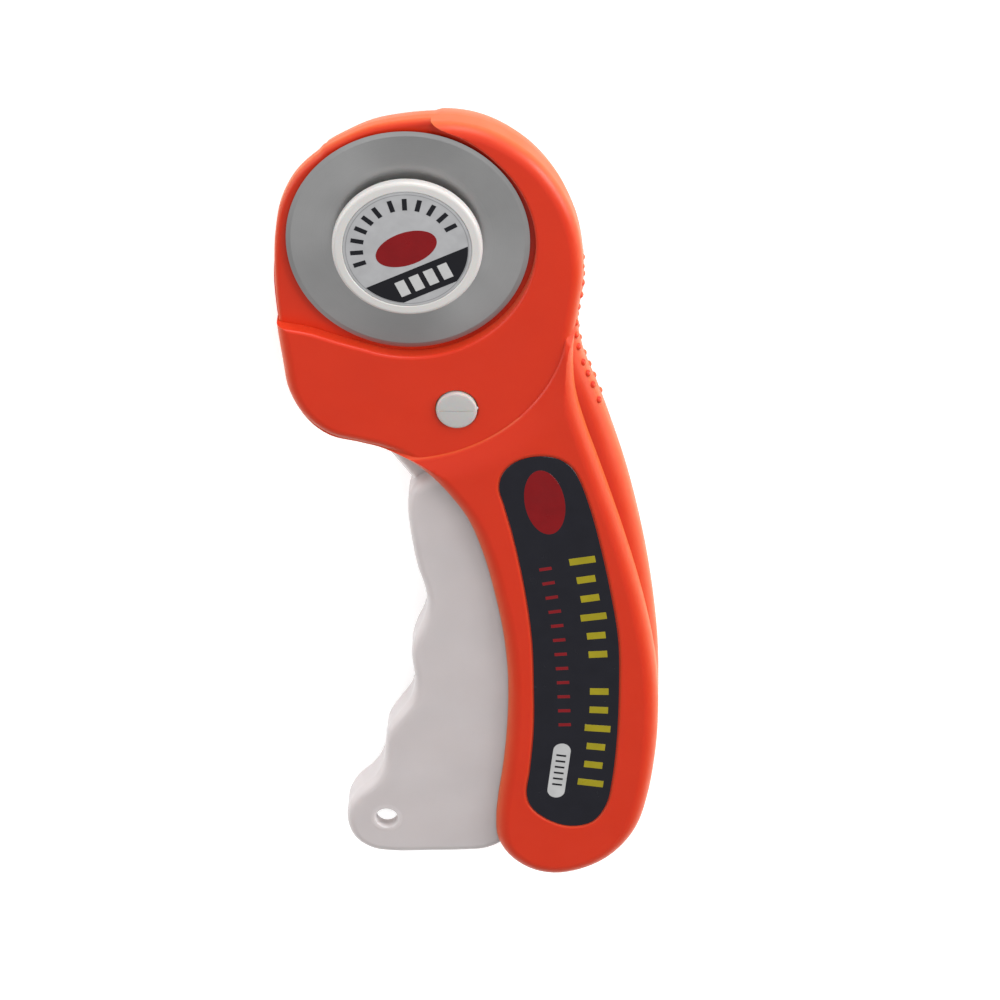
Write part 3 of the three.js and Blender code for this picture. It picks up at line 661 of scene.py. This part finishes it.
def spine():
    """The rounded ridge down the palm side, through both halves."""
    outer = spine_edge[::4]
    inner = [Vector((p.x - SPINE_ROOT, p.y)) for p in outer]
    outline = [*reversed(outer), *inner]
    low, high, edge = SPINE_BACK, SPINE_FRONT, SPINE_EDGE
    profile = [(edge, low), *quarter((edge, low), (0, low + edge), 8, upright_first=False)]
    profile += [(0, high - edge), *quarter((0, high - edge), (edge, high), 8)]
    return loft(outline, profile)


def pips(side):
    """The thumb rest's round pips on one half: side is 1 in front of the parting plane and -1 behind it."""
    made = []
    last = len(spine_edge) - 1
    for i in range(PIP_COUNT):
        along = PIP_FIRST + (PIP_LAST - PIP_FIRST) * i / (PIP_COUNT - 1)
        at = spine_edge[round(along * last)] - Vector((0.5, 0))
        dome = [(0, -PIP_RADIUS)]
        for k in range(1, 8):
            a = math.pi * k / 8
            dome.append((PIP_RADIUS * math.sin(a), -PIP_RADIUS * math.cos(a)))
        dome.append((0, PIP_RADIUS))
        made.append(turned(at, [(r, z + side * PIP_ROW) for r, z in dome], 16))
    return made


def crease_ramp(stepped):
    """The way up from the head's face to the handle's: how far beyond the crease, and how high."""
    wide, high = CREASE_STEP if stepped else (0, 0)
    low = HEAD_FACE + high
    ramp = []
    if stepped:
        ramp = [(0, HEAD_FACE), (0.15 * wide, HEAD_FACE + 0.5 * high)]
        ramp.append((0.5 * wide, HEAD_FACE + 0.88 * high))
    for i in range(13):
        share = i / 12
        along = wide + (CREASE_RAMP - wide) * share
        ramp.append((along, low + (GRIP_FACE - low) * math.sin(math.pi / 2 * share)))
    return [*ramp, (CREASE_RAMP + RAMP_END, GRIP_FACE + 0.01)]


def crease_bowl():
    """Everything within the crease arc, widening above the head's face as the handle's face rises."""
    foot = CREASE_RADIUS - CREASE_FOOT
    profile = [(0, REAR_FACE), (foot, REAR_FACE), (foot, HEAD_FACE - CREASE_DROP)]
    profile += [(CREASE_RADIUS + along, z) for along, z in crease_ramp(stepped=True)]
    wide = profile[-1][0]
    return turned(CREASE, [*profile, (wide, GRIP_FACE + 2), (0, GRIP_FACE + 2)], 240)


def crease_tip(turn):
    """Everything beyond a line through the crease's tip, with a soft ramp up to the handle's face."""
    profile = [(FAR / 2, REAR_FACE), (FAR / 2, GRIP_FACE + 1), (-CREASE_RAMP - RAMP_END, GRIP_FACE + 1)]
    profile += [(-along, z) for along, z in reversed(crease_ramp(stepped=False))]
    profile += [(CREASE_FOOT, HEAD_FACE - CREASE_DROP), (CREASE_FOOT, REAR_FACE)]
    place = Matrix.Translation((*CREASE_TIP, 0)) @ Matrix.Rotation(turn, 4, "Z")
    return stacked([[tuple(place @ Vector((x, y, z))) for y, z in profile] for x in (-100, 100)])


def screw_bosses(low, tops):
    return [round_bar(at, SCREW_BOSS, low, top, 32) for at, top in zip(SCREW_PLACES, tops)]


# The guard plate and the rear half stand back along the cutting side, between notches at this x and this y.
NOTCH_TOP_X = -15.8
NOTCH_LOW_Y = -18.4
LIP_STEP = 5.9
PLATE_BACK = 0.35
SEAM_DEPTH, SEAM_HALF, SEAM_LIP = 0.7, 0.08, 0.17
POCKET_FLARE = 0.6
BUTTON_FLARE = 0.35
SLOT_ROOM = 0.4


def on_cutting_side(p):
    return p.x < NOTCH_TOP_X and p.y > NOTCH_LOW_Y


def front_shell():
    # Cuts start behind the parting plane, and the deep ones behind the ridge's part below it too.
    under, deep_under = -1, -7
    groove = [(SEAM_DEPTH, PARTING), (SEAM_DEPTH, PARTING + SEAM_HALF), (0, PARTING + SEAM_LIP)]
    low = HEAD_FACE - HEAD_EDGE
    head = loft(BODY, [*groove, (0, low), *quarter((0, low), (HEAD_EDGE, HEAD_FACE))])
    pocket = pocket_outline()
    low = HEAD_FACE - POCKET_FLARE
    flare = quarter((0, low), (-POCKET_FLARE, HEAD_FACE), 5)
    cut(head, loft(pocket, [(0, under), (0, low), *flare, (-POCKET_FLARE, HEAD_FACE + 4)]))
    guard = inset(BODY, [PLATE_BACK if on_cutting_side(p) else 0.0 for p in BODY])
    low = PLATE_FACE - PLATE_EDGE
    plate = loft(guard, [*groove, (0, low), *quarter((0, low), (PLATE_EDGE, PLATE_FACE), 6)])
    low = GRIP_FACE - GRIP_EDGE
    handle = loft(BODY, [*groove, (0, low), *quarter((0, low), (GRIP_EDGE, GRIP_FACE), 10)])
    cut(handle, crease_bowl(), crease_tip(0), crease_tip(CREASE_TIP_TURN))
    ridge = cut(spine(), block(FAR, -DEEP, PARTING))
    shell = join(head, plate, handle, ridge, *pips(1))

    hollow = prism(inset(BODY, WALL), under, HEAD_FACE - WALL)
    cut(hollow, loft(pocket, [(-WALL, 0.7), (-WALL, DEEP)]))
    roof, edge = GRIP_FACE - WALL, GRIP_EDGE
    deep = loft(inset(BODY, WALL + 0.3), [(0, under), (0, roof - edge), (edge, roof)])
    side, foot = FAR / 2, CREASE_TIP[1] - WALL
    beyond = [(-side, foot), (side, foot), (side, side), (-side, side)]
    bowl = round_bar(CREASE, CREASE_RADIUS + WALL, deep_under, DEEP, 120)
    cut(deep, bowl, prism(beyond, deep_under, DEEP))
    cut(shell, hollow, deep)

    collar = round_bar(LOCK, LOCK_RADIUS + 1.6, 1, HEAD_FACE - 1)
    pivot_boss = round_bar(PIVOT, 4, 0.75, HEAD_FACE - 1)
    join(shell, collar, pivot_boss, *screw_bosses(PARTING, SCREW_TOPS))
    low = HEAD_FACE - BUTTON_FLARE
    rim = quarter((0, low), (-BUTTON_FLARE, HEAD_FACE), 4)
    button_hole = circle(LOCK, LOCK_RADIUS + CLOSE_FIT, 96)
    lip = quarter((-0.25, GRIP_FACE - 0.22), (-0.75, GRIP_FACE), 5)
    return cut(
        shell,
        *[round_bar(at, SCREW_SHANK + GAP, deep_under, GAP, 24) for at in SCREW_PLACES],
        loft(button_hole, [(0, under), (0, low), *rim, (-BUTTON_FLARE, HEAD_FACE + 4)]),
        round_bar(PIVOT, PIN_RADIUS + GAP, under, 3.1),
        travel_slot((0, 0), BLADE_BORE + SLIDE_FIT, under, DEEP),
        prism(ARM_SLOT, ARM_BACK - 2 * GAP, ARM_FRONT + GAP),
        prism(GRIP_SLOT, LEVER_BACK - SLOT_ROOM, LEVER_FRONT + SLOT_ROOM),
        loft(LABEL, [(-0.25, GRIP_FACE - 0.25), *lip, (-0.75, GRIP_FACE + 2)]),
    )


# The rear half has a flat back and elliptic sides, which lean in further at the top of the head.
SIDE, RISE, HEAD_SIDE, HEAD_RISE = 4.0, 7.0, 9.0, 9.9
LEAN_FROM, LEAN_TO = -12.0, 8.0
BACK_CUTTING, BACK_TOP, BACK_PALM = 1.2, 0.7, 0.3
REAR_BOSS_TOP, SPRING_POST_TOP, SINK_TOP = -3.5, -6.4, -7.4
PIVOT_POST_RADIUS = 2.9
LOCK_TOWER_RADIUS, LOCK_TOWER_HEIGHT = 8.1, 4.6


def rear_tub(wall, floor, top, steps):
    rings = []
    for k in range(steps + 1):
        a = math.pi / 2 * (1 - k / steps)
        inwards = []
        heights = []
        for p in BODY:
            share = min(1, max(0, (p.y - LEAN_FROM) / (LEAN_TO - LEAN_FROM)))
            lean = share * share * (3 - 2 * share)
            if on_cutting_side(p):
                back = BACK_CUTTING
            else:
                back = BACK_TOP if p.x < LIP_STEP else BACK_PALM
            side = SIDE + (HEAD_SIDE - SIDE) * lean
            rise = RISE + (HEAD_RISE - RISE) * lean - (floor - REAR_FACE)
            inwards.append(wall + back * lean + side * (1 - math.cos(a)))
            heights.append(floor + rise * (1 - math.sin(a)))
        rings.append([(p.x, p.y, z) for p, z in zip(inset(BODY, inwards), heights)])
    if wall:
        rings.append([(x, y, top) for x, y, _ in rings[-1]])
    else:
        rings.append([(x, y, top - SEAM_LIP) for x, y, _ in rings[-1]])
        groove = inset([Vector(p[:2]) for p in rings[-1]], SEAM_DEPTH)
        rings.append([(p.x, p.y, top - SEAM_HALF) for p in groove])
        rings.append([(p.x, p.y, top) for p in groove])
    return stacked(rings)


def rear_shell():
    tub = rear_tub(0, REAR_FACE, -PARTING, 16)
    ridge = cut(spine(), block(FAR, -PARTING, DEEP))
    join(tub, ridge, *pips(-1))
    cut(tub, rear_tub(WALL, REAR_FLOOR, 1, 8))
    low = REAR_FLOOR - 1
    posts = [
        *screw_bosses(low, [REAR_BOSS_TOP] * len(SCREW_PLACES)),
        round_bar(PIVOT, PIVOT_POST_RADIUS, low, ARM_BACK - GAP),
        round_bar(SPRING_POST, SPRING_STOP_RADIUS, low, SPRING_POST_TOP),
        round_bar(LOCK, LOCK_TOWER_RADIUS, low, REAR_FACE + LOCK_TOWER_HEIGHT),
    ]
    for post in posts:
        combine("INTERSECT", post, [rear_tub(0.2, REAR_FACE + 0.2, 1, 8)])
    join(tub, *posts)

    below, rim = REAR_FACE - 2, REAR_FACE + SOFT_EDGE
    dish_rim = quarter((0, rim), (-SOFT_EDGE, REAR_FACE), 4)
    dish = [(-SOFT_EDGE, below), *reversed(dish_rim), (0, rim), (0, REAR_FACE + LOCK_DISH_DEPTH)]
    sink = [(-0.3, below), (-0.3, REAR_FACE), (0, REAR_FACE + 0.3), (0, SINK_TOP)]
    slot = [(-SOFT_EDGE, below), (-SOFT_EDGE, REAR_FACE), (0, rim), (0, REAR_FLOOR + 3)]
    travel = capsule((0, 0), turned_with_lever((0, 0), SQUEEZE), BOLT_SLOT_WIDTH, 32)
    return cut(
        tub,
        loft(circle(LOCK, LOCK_DISH_RADIUS, 96), dish),
        *[loft(circle(at, SCREW_HEAD + GAP, 48), sink) for at in SCREW_PLACES],
        *[round_bar(at, SCREW_SHANK + GAP, REAR_FACE, 1, 24) for at in SCREW_PLACES],
        round_bar(LOCK, LOCK_RADIUS + SLIDE_FIT, REAR_FACE, 1, 96),
        round_bar(PIVOT, PIN_RADIUS + GAP, REAR_FLOOR, 1),
        loft(travel, slot),
        prism(ARM_SLOT, ARM_BACK - 2 * GAP, 1),
        prism(GRIP_SLOT, LEVER_BACK - SLOT_ROOM, 1),
    )


# ------------------------ the lever
def squeeze_lever():
    edge, back_edge = 1.8, 0.8
    foot = (back_edge, LEVER_BACK)
    back = [foot, *quarter(foot, (0, LEVER_BACK + back_edge), 4, upright_first=False)]
    front = [(0, LEVER_FRONT - edge), *quarter((0, LEVER_FRONT - edge), (edge, LEVER_FRONT), 8)]
    grip = loft(GRIP, [*back, *front])
    cut(grip, prism(inset(GRIP, LEVER_WALL), LEVER_BACK - 1, LEVER_FRONT - LEVER_SKIN))
    inner = inset(GRIP, 1.4)
    ribs = []
    for y in RIB_PLACES:
        low, high = y - RIB_HALF, y + RIB_HALF
        rib = prism([(-20, low), (30, low), (30, high), (-20, high)], LEVER_BACK + 1, LEVER_FRONT - 1)
        combine("INTERSECT", rib, [prism(inner, LEVER_BACK, LEVER_FRONT)])
        ribs.append(rib)
    rim, under, top = HANG_HOLE_RADIUS + 1.6, LEVER_FRONT - 2.6, LEVER_FRONT + 0.06
    eyelet = turned(HANG_HOLE, [
        (0, under), (rim, under), (rim, LEVER_FRONT - 0.3),
        *quarter((rim, LEVER_FRONT - 0.3), (rim - 1, top), 4), (0, top),
    ], 64)
    soft = 0.35
    arm = loft(ARM, [(soft, ARM_BACK), (0, ARM_BACK + soft), (0, ARM_FRONT - soft), (soft, ARM_FRONT)])
    boss = round_bar((0, 0), BOSS_RADIUS, -6.2, ARM_FRONT, 96)
    peg = round_bar(SPRING_PEG, SPRING_STOP_RADIUS, -5, -2.5)
    join(grip, *ribs, arm, eyelet, boss, peg)

    below, above = -8, 2
    lock_end = turned_with_lever(LOCK, -SQUEEZE)
    low = LEVER_FRONT - 0.4
    mouth = quarter((0, low), (-0.6, LEVER_FRONT + 0.3), 5)
    hang_hole = [(0, below), (0, low), *mouth, (-0.6, LEVER_FRONT + 4)]
    return cut(
        grip,
        block(BOLT_SQUARE + GAP, below, above),
        round_bar(PIVOT, PIN_RADIUS + CLOSE_FIT, below, above),
        travel_slot(LOCK, 5.6, ARM_BACK - 1, -1.6, -SQUEEZE),
        round_bar(LOCK, LOCK_STEM + SLIDE_FIT, below, above),
        round_bar(lock_end, LOCK_STEM + SLIDE_FIT, below, above),
        travel_slot(LOCK, LOCK_WAIST + SLIDE_FIT, below, above, -SQUEEZE),
        loft(circle(HANG_HOLE, HANG_HOLE_RADIUS, 64), hang_hole),
    )


# ------------------------ pin, spring, lock, screws
def pivot_pin():
    low, high, soft = -7.8, 2.8, 0.3
    return turned(PIVOT, [
        (0, low), (PIN_RADIUS - soft, low), (PIN_RADIUS, low + soft),
        (PIN_RADIUS, high - soft), (PIN_RADIUS - soft, high), (0, high),
    ], 48)


SPRING_RADIUS, SPRING_WIRE, SPRING_TURNS, SPRING_LEG = 3.8, 0.4, 3.75, 11.5
SPRING_LOW, SPRING_HIGH = -7.5, -4.3


def return_spring():
    """The coil round the pivot post with its two straight legs, as a wire swept along a path."""
    path = []
    steps = 260
    turn = 2 * math.pi * SPRING_TURNS
    total = turn * SPRING_RADIUS + 2 * SPRING_LEG
    for i in range(steps + 1):
        along = total * i / steps
        rise = min(1, max(0, (along - SPRING_LEG) / (turn * SPRING_RADIUS)))
        angle = turn * (rise - 1)
        straight = along - SPRING_LEG if along < SPRING_LEG else max(0, along - total + SPRING_LEG)
        path.append(Vector((
            PIVOT[0] + SPRING_RADIUS * math.cos(angle) - straight * math.sin(angle),
            PIVOT[1] + SPRING_RADIUS * math.sin(angle) + straight * math.cos(angle),
            SPRING_LOW + (SPRING_HIGH - SPRING_LOW) * rise,
        )))
    rings = []
    for i, p in enumerate(path):
        ahead = (path[min(i + 1, steps)] - path[max(i - 1, 0)]).normalized()
        aside = ahead.cross(Vector((0, 0, 1))).normalized()
        up = aside.cross(ahead)
        turns = (2 * math.pi * k / 12 for k in range(12))
        rings.append([p + (aside * math.cos(a) + up * math.sin(a)) * SPRING_WIRE for a in turns])
    return stacked(rings)


def lock_button():
    top, under = 6.0, 3.1
    rim = top - SOFT_EDGE
    cap = [(LOCK_RADIUS, under), (LOCK_RADIUS, rim)]
    cap += quarter((LOCK_RADIUS, rim), (LOCK_RADIUS - SOFT_EDGE, top - 0.06), 6)
    crown = [(LOCK_RADIUS * 0.5, top - 0.015), (0, top)]
    body = turned(LOCK, [
        (0, -5.6), (LOCK_STEM, -5.6), (LOCK_STEM, -1.95), (LOCK_WAIST, -1.95), (LOCK_WAIST, 0.7),
        (LOCK_STEM, 0.7), (LOCK_STEM, under), *cap, *crown,
    ])
    line = prism(bar(LOCK, (1, 0.02), 2 * LOCK_RADIUS - 1.2, 0.16), top - 0.12, top + 1)
    gate_at = (LOCK[0] + LOCK_RADIUS - 0.12, LOCK[1] + 0.3)
    gate = turned(gate_at, [(0, 4.4), (0.35, 4.4), (0.35, 5.2), (0, 5.5)], 16)
    return cut(join(body, gate), line)


def rear_cap():
    low, high, seat = -7.3, -3.6, -5.9
    flat, bore = LOCK_RADIUS - SOFT_EDGE, LOCK_STEM + GAP
    base = [(0, low), (flat, low)]
    base += quarter((flat, low), (LOCK_RADIUS, low + SOFT_EDGE), 6, upright_first=False)
    return turned(LOCK, [*base, (LOCK_RADIUS, high), (bore, high), (bore, seat), (0, seat)])


def housing_screw(at):
    """A pan-head screw with a tapered cross recess and a few turns of thread."""
    low, seat = -9.2, -7.7
    head = [(0, low), *quarter((0, low), (SCREW_HEAD, low + SOFT_EDGE), 6, upright_first=False)]
    head += [(SCREW_HEAD, seat - 0.1), (SCREW_HEAD - 0.1, seat)]
    shank = [(SCREW_SHANK, seat)]
    for i in range(9):
        z = -6.6 + 0.65 * i
        shank += [(SCREW_ROOT, z), (SCREW_SHANK, z + 0.3), (SCREW_ROOT, z + 0.6)]
    screw = turned(at, [*head, *shank, (0.5, -0.3), (0, 0)], 36)
    tools = []
    for length, width in ((1.4, 0.36), (0.36, 1.4)):
        outer = [(at[0] + x * length, at[1] + y * width) for x, y in ((-1, -1), (1, -1), (1, 1), (-1, 1))]
        inner = [(at[0] + (x - at[0]) * 0.6, at[1] + (y - at[1]) * 0.6) for x, y in outer]
        mouth = [(x, y, low - 0.8) for x, y in outer]
        tools.append(stacked([mouth, [(x, y, low + 0.9) for x, y in inner]]))
    return cut(screw, *tools)


# ------------------------ blade and clamp
def blade_bolt():
    low, under = -8.4, -6.3
    dome = quarter((0, low), (BOLT_HEAD, -7.2), 10, upright_first=False)
    rim = [(BOLT_HEAD, under - 0.2), (BOLT_HEAD - 0.2, under)]
    head = turned((0, 0), [(0, low), *dome, *rim, (0, under)])
    crest, root = 2.4, 2.1
    thread = [(0, 1), (crest, 1), (crest, 2.2)]
    for i in range(5):
        z = 2.3 + 0.7 * i
        thread += [(root, z), (crest, z + 0.32)]
    thread += [(root, 5.8), (0, 5.9)]
    return join(head, block(BOLT_SQUARE, under - GAP, 2), turned((0, 0), thread, 48))


def blade_hub():
    barrel, shoulder = BLADE_BORE - CLOSE_FIT, 7.6
    hub = turned((0, 0), [
        (0, 0.5), (barrel, 0.5), (barrel, 2.6), (shoulder, 2.6), (shoulder, 3.0), (barrel, 3.0),
        (barrel, 3.35), (0, 3.35),
    ])
    return cut(hub, block(BOLT_SQUARE + CLOSE_FIT, 0, 4))


GRIND = BLADE_RADIUS - 0.9


def blade_disc():
    return turned((0, 0), [
        (BLADE_BORE, BLADE_BACK), (GRIND, BLADE_BACK), (GRIND, BLADE_FRONT), (BLADE_BORE, BLADE_FRONT),
    ], 192)


def blade_edge():
    """The ground rim: two slopes meeting at the cutting edge."""
    middle = (BLADE_BACK + BLADE_FRONT) / 2
    inner = GRIND + 0.003
    return turned((0, 0), [
        (inner, BLADE_BACK), (BLADE_RADIUS, middle - 0.01), (BLADE_RADIUS, middle + 0.01),
        (inner, BLADE_FRONT),
    ], 192)


def spring_washer():
    """A round washer waved three times round, between the blade and the knob."""
    section = [(2.8, 3.72), (8.5, 3.62), (8.5, 3.82), (2.8, 3.92)]
    count = 96
    verts = []
    for i in range(count):
        a = 2 * math.pi * i / count
        wave = 0.12 * math.sin(3 * a)
        verts += [(r * math.cos(a), r * math.sin(a), z + wave) for r, z in section]
    faces = []
    for i in range(count):
        j = (i + 1) % count
        for k in range(4):
            m = (k + 1) % 4
            faces.append((i * 4 + k, j * 4 + k, j * 4 + m, i * 4 + m))
    return solid(verts, faces)


KNOB_RADIUS, KNOB_FACE, KNOB_LABEL_RADIUS, KNOB_SEAT = 13.9, 6.8, 11.8, 6.6


def nut_knob():
    seat = KNOB_LABEL_RADIUS + 0.12
    waist, shoulder = KNOB_RADIUS - 0.05, KNOB_FACE - 0.7
    profile = [(0, 4.25), (8.5, 4.25), (10.5, 4.8), (13.0, 4.8)]
    profile += quarter((13.0, 4.8), (KNOB_RADIUS, 5.4), 5, upright_first=False)
    profile += [(waist, shoulder)]
    profile += quarter((waist, shoulder), (KNOB_RADIUS - 0.8, KNOB_FACE), 6)
    profile += [(seat + 0.12, KNOB_FACE), (seat, KNOB_FACE - 0.1), (seat, KNOB_SEAT), (0, KNOB_SEAT)]
    knob = turned((0, 0), profile, 160)
    return cut(knob, round_bar((0, 0), 5.4, 0, 6.2, 6))


def hexagon_insert():
    return cut(round_bar((0, 0), 5.2, 4.3, 6.1, 6), round_bar((0, 0), 2.6, 0, 9))


# ------------------------ make the pieces
HOUSING, LEVER, KNOB, LOCK_BODY = "housing", "lever", "knob", "lock"
HEAD_END = -36
front = finish(front_shell(), "front_shell", HOUSING, ORANGE, ["front_housing"])
plain_inside(front, ORANGE_INSIDE, HEAD_END * MM)
finish(rear_shell(), "rear_shell", HOUSING, ORANGE, ["rear_housing"])
finish(squeeze_lever(), "lever_moulding", LEVER, MILKY, ["squeeze_lever"])
finish(pivot_pin(), "pivot_pin", HOUSING, PLATED, ["lever_pivot_pin"])
# The coil's low leg sits on the housing and its high one on the lever; the coil is left where it is, on no
# body, and not twisted between them.
coil_start = TO_FRAME @ Vector((*PIVOT, SPRING_LOW + SPRING_WIRE))
coil_end = TO_FRAME @ Vector((*PIVOT, SPRING_HIGH - SPRING_WIRE))
finish(
    return_spring(), "coil_spring", HOUSING, WIRE, ["return_spring"],
    sharp=60, twist=(LEVER, coil_start, coil_end),
)
finish(lock_button(), "button", LOCK_BODY, BUTTON, ["lock_button"])
finish(rear_cap(), "button_cap", LOCK_BODY, BUTTON, ["lock_button_rear_cap"])
finish(blade_bolt(), "clamp_bolt", LEVER, PLATED, ["blade_bolt"])
finish(blade_hub(), "hub", LEVER, WHITE, ["blade_hub"])
finish(blade_disc(), "blade_disc", "blade", BLADE_STEEL, ["rotary_blade"], sharp=20)
finish(blade_edge(), "blade_ground_edge", "blade", EDGE_STEEL, sharp=5)
finish(spring_washer(), "wave_washer", LEVER, WIRE, ["spring_washer"])
finish(nut_knob(), "knob", KNOB, WHITE, ["blade_nut_knob"])
finish(hexagon_insert(), "knob_insert", KNOB, PLATED, ["nut_insert"])
for number, place in enumerate(SCREW_PLACES, 1):
    finish(
        housing_screw(place), f"screw_{number}", HOUSING, PLATED,
        [f"housing_screw_{number}"],
    )


# ------------------------ the printed labels, with no lettering
INK = 0.02
MARK_LEFT_OUT = 7


def knob_ink(outline, low, name, material):
    film(outline, low, low + INK, f"knob_print_{name}", KNOB, material)


def handle_ink(outline, low, name, material):
    film(outline, low, low + INK, f"handle_print_{name}", HOUSING, material)


def knob_print():
    """The silver disc: a thin grey outline, a red oval, a black band with blocks and an arc of bars."""
    low = KNOB_SEAT + 0.02
    base = KNOB_FACE - 0.06
    disc = circle((0, 0), KNOB_LABEL_RADIUS, 160)
    film(disc, low, base, "knob_disc", KNOB, SILVER_FILM, ["knob_label"])
    ring = turned((0, 0), [(11.25, base), (11.25, base + INK), (11.4, base + INK), (11.4, base)], 160)
    finish(ring, "knob_print_outline", KNOB, GREY_INK)
    knob_ink(oval((-0.15, 0.1), 11.9, 6.7, 23), base, "oval", RED_INK)
    tilt = math.radians(25.5)
    along = Vector((math.cos(tilt), math.sin(tilt)))
    across = Vector((-along.y, along.x))
    reach = 11.2
    corners = []
    for offset, direction in ((-9.8, 1), (-4.1, 1), (-4.1, -1), (-9.8, -1)):
        half = math.sqrt(reach ** 2 - offset ** 2)
        corners.append(math.atan2(offset, direction * half) + tilt)
    outline = []
    for first, last in (corners[:2], corners[2:]):
        sweep = (last - first + math.pi) % (2 * math.pi) - math.pi
        for i in range(13):
            a = first + sweep * i / 12
            outline.append(Vector((reach * math.cos(a), reach * math.sin(a))))
    knob_ink(outline, base, "band", DARK_INK)
    for i in range(4):
        at = across * -7.0 + along * (-4.3 + 2.9 * i)
        knob_ink(bar(at, across, 3.2, 1.9), base + INK, f"block_{i + 1}", LIGHT_INK)
    angles = [200 - 14.8 * i for i in range(6)] + [108 - 15.6 * i for i in range(6)]
    for i, angle in enumerate(angles, 1):
        away = Vector((math.cos(math.radians(angle)), math.sin(math.radians(angle))))
        knob_ink(bar(away * 9.3, away, 2.4, 0.9), base, f"bar_{i}", DARK_INK)


def row_of_marks(points, count):
    """Evenly spaced places along a curve, numbered from 1, each with the direction across it."""
    row = spline(points, count, closed=False)
    for i, p in enumerate(row):
        ahead = row[min(i + 1, count)] - row[max(i - 1, 0)]
        yield i + 1, p, (-ahead.y, ahead.x)


def handle_print():
    """The black film with a red oval, a grey pill, and two rows of plain bars like a rule's marks."""
    top = GRIP_FACE - 0.04
    film(LABEL, GRIP_FACE - 0.2, top, "handle_film", HOUSING, BLACK_FILM, ["handle_label"])
    handle_ink(oval((25.5, -54.1), 14.2, 7.6, 99), top, "oval", RED_INK)
    handle_ink(capsule((29.1, -110.5), (28.0, -119.8), 3.4), top, "pill", LIGHT_INK)
    for i in range(6):
        at = Vector((28.97, -111.6)) + Vector((-0.158, -1.36)) * i
        handle_ink(bar(at, (-1, 0.118), 1.9, 0.42), top + INK, f"pill_bar_{i + 1}", DARK_INK)
    marks = [(32.7, -66.9), (35.4, -82.9), (36.2, -96.9), (35.7, -108.9), (34.7, -117.9)]
    for number, at, across in row_of_marks(marks, 12):
        if number != MARK_LEFT_OUT:
            length = 5.0 if number % 3 == 1 else 3.6
            handle_ink(bar(at, across, length, 1.5), top, f"mark_{number}", YELLOW_INK)
    ticks = [(25.7, -68.9), (27.9, -80.9), (29.1, -92.9), (29.6, -104.4)]
    for number, at, across in row_of_marks(ticks, 11):
        handle_ink(bar(at, across, 2.4, 0.7), top, f"tick_{number}", DIM_RED_INK)


knob_print()
handle_print()

# ------------------------ floor, light and camera
FLOOR_SIZE = 3.0
FLOOR_GLOW = 0.45
WORLD_GLOW = 0.36
# Each light's name, place in metres, width in metres and power in watts. All face the origin.
LIGHTS = [
    ("top", (0.2, 0.2, 1.6), 2.0, 6.4),
    ("back", (0.35, 1.5, 0.55), 1.0, 19),
    ("key", (1.4, 0.4, 0.50), 0.9, 21),
    ("fill", (-1.2, 0.3, 0.5), 1.2, 10.5),
]
VIEW_TILT, VIEW_LEAN = math.radians(31.364), math.radians(2.633)
VIEW_CENTRE = (16.97, -55.54, 3.4)
VIEW_DISTANCE = 1000
VIEW_LENS = 190.13


def floor():
    made = block(FLOOR_SIZE, -0.02, -0.0001)
    made.name = "floor"
    material, shader, place = principled(
        "pale_floor", (0.90, 0.90, 0.90), 0.6, Emission_Color=(1, 1, 1, 1), Emission_Strength=FLOOR_GLOW)
    uneven_gloss(material, shader, noise(material, place, 300, 2), 0.55, 0.65)
    made.data.materials.append(material)


def area_light(name, place, size, power):
    data = bpy.data.lights.new(name, "AREA")
    data.shape = "DISK"
    data.size = size
    data.energy = power
    lamp = bpy.data.objects.new(name, data)
    lamp.location = place
    lamp.rotation_euler = (-Vector(place)).to_track_quat("-Z", "Y").to_euler()
    bpy.context.scene.collection.objects.link(lamp)


def surround():
    world = bpy.data.worlds.new("studio")
    world.use_nodes = True
    background = world.node_tree.nodes["Background"]
    background.inputs["Color"].default_value = (1, 1, 1, 1)
    background.inputs["Strength"].default_value = WORLD_GLOW
    bpy.context.scene.world = world
    bpy.context.scene.view_settings.view_transform = "Standard"


def camera():
    """The view leans from straight above towards the head."""
    away = Vector((
        math.sin(VIEW_TILT) * math.sin(VIEW_LEAN), math.sin(VIEW_TILT) * math.cos(VIEW_LEAN),
        math.cos(VIEW_TILT),
    ))
    data = bpy.data.cameras.new("camera")
    data.sensor_width = 36
    data.lens = VIEW_LENS
    data.clip_end = 20
    eye = bpy.data.objects.new("camera", data)
    right = Vector((0, 1, 0)).cross(away).normalized()
    up = away.cross(right)
    turn = Matrix((right, up, away)).transposed().to_4x4()
    place = TO_FRAME @ (Vector(VIEW_CENTRE) + away * VIEW_DISTANCE)
    eye.matrix_world = Matrix.Translation(place) @ turn
    bpy.context.scene.collection.objects.link(eye)
    bpy.context.scene.camera = eye


floor()
for light in LIGHTS:
    area_light(*light)
surround()
camera()
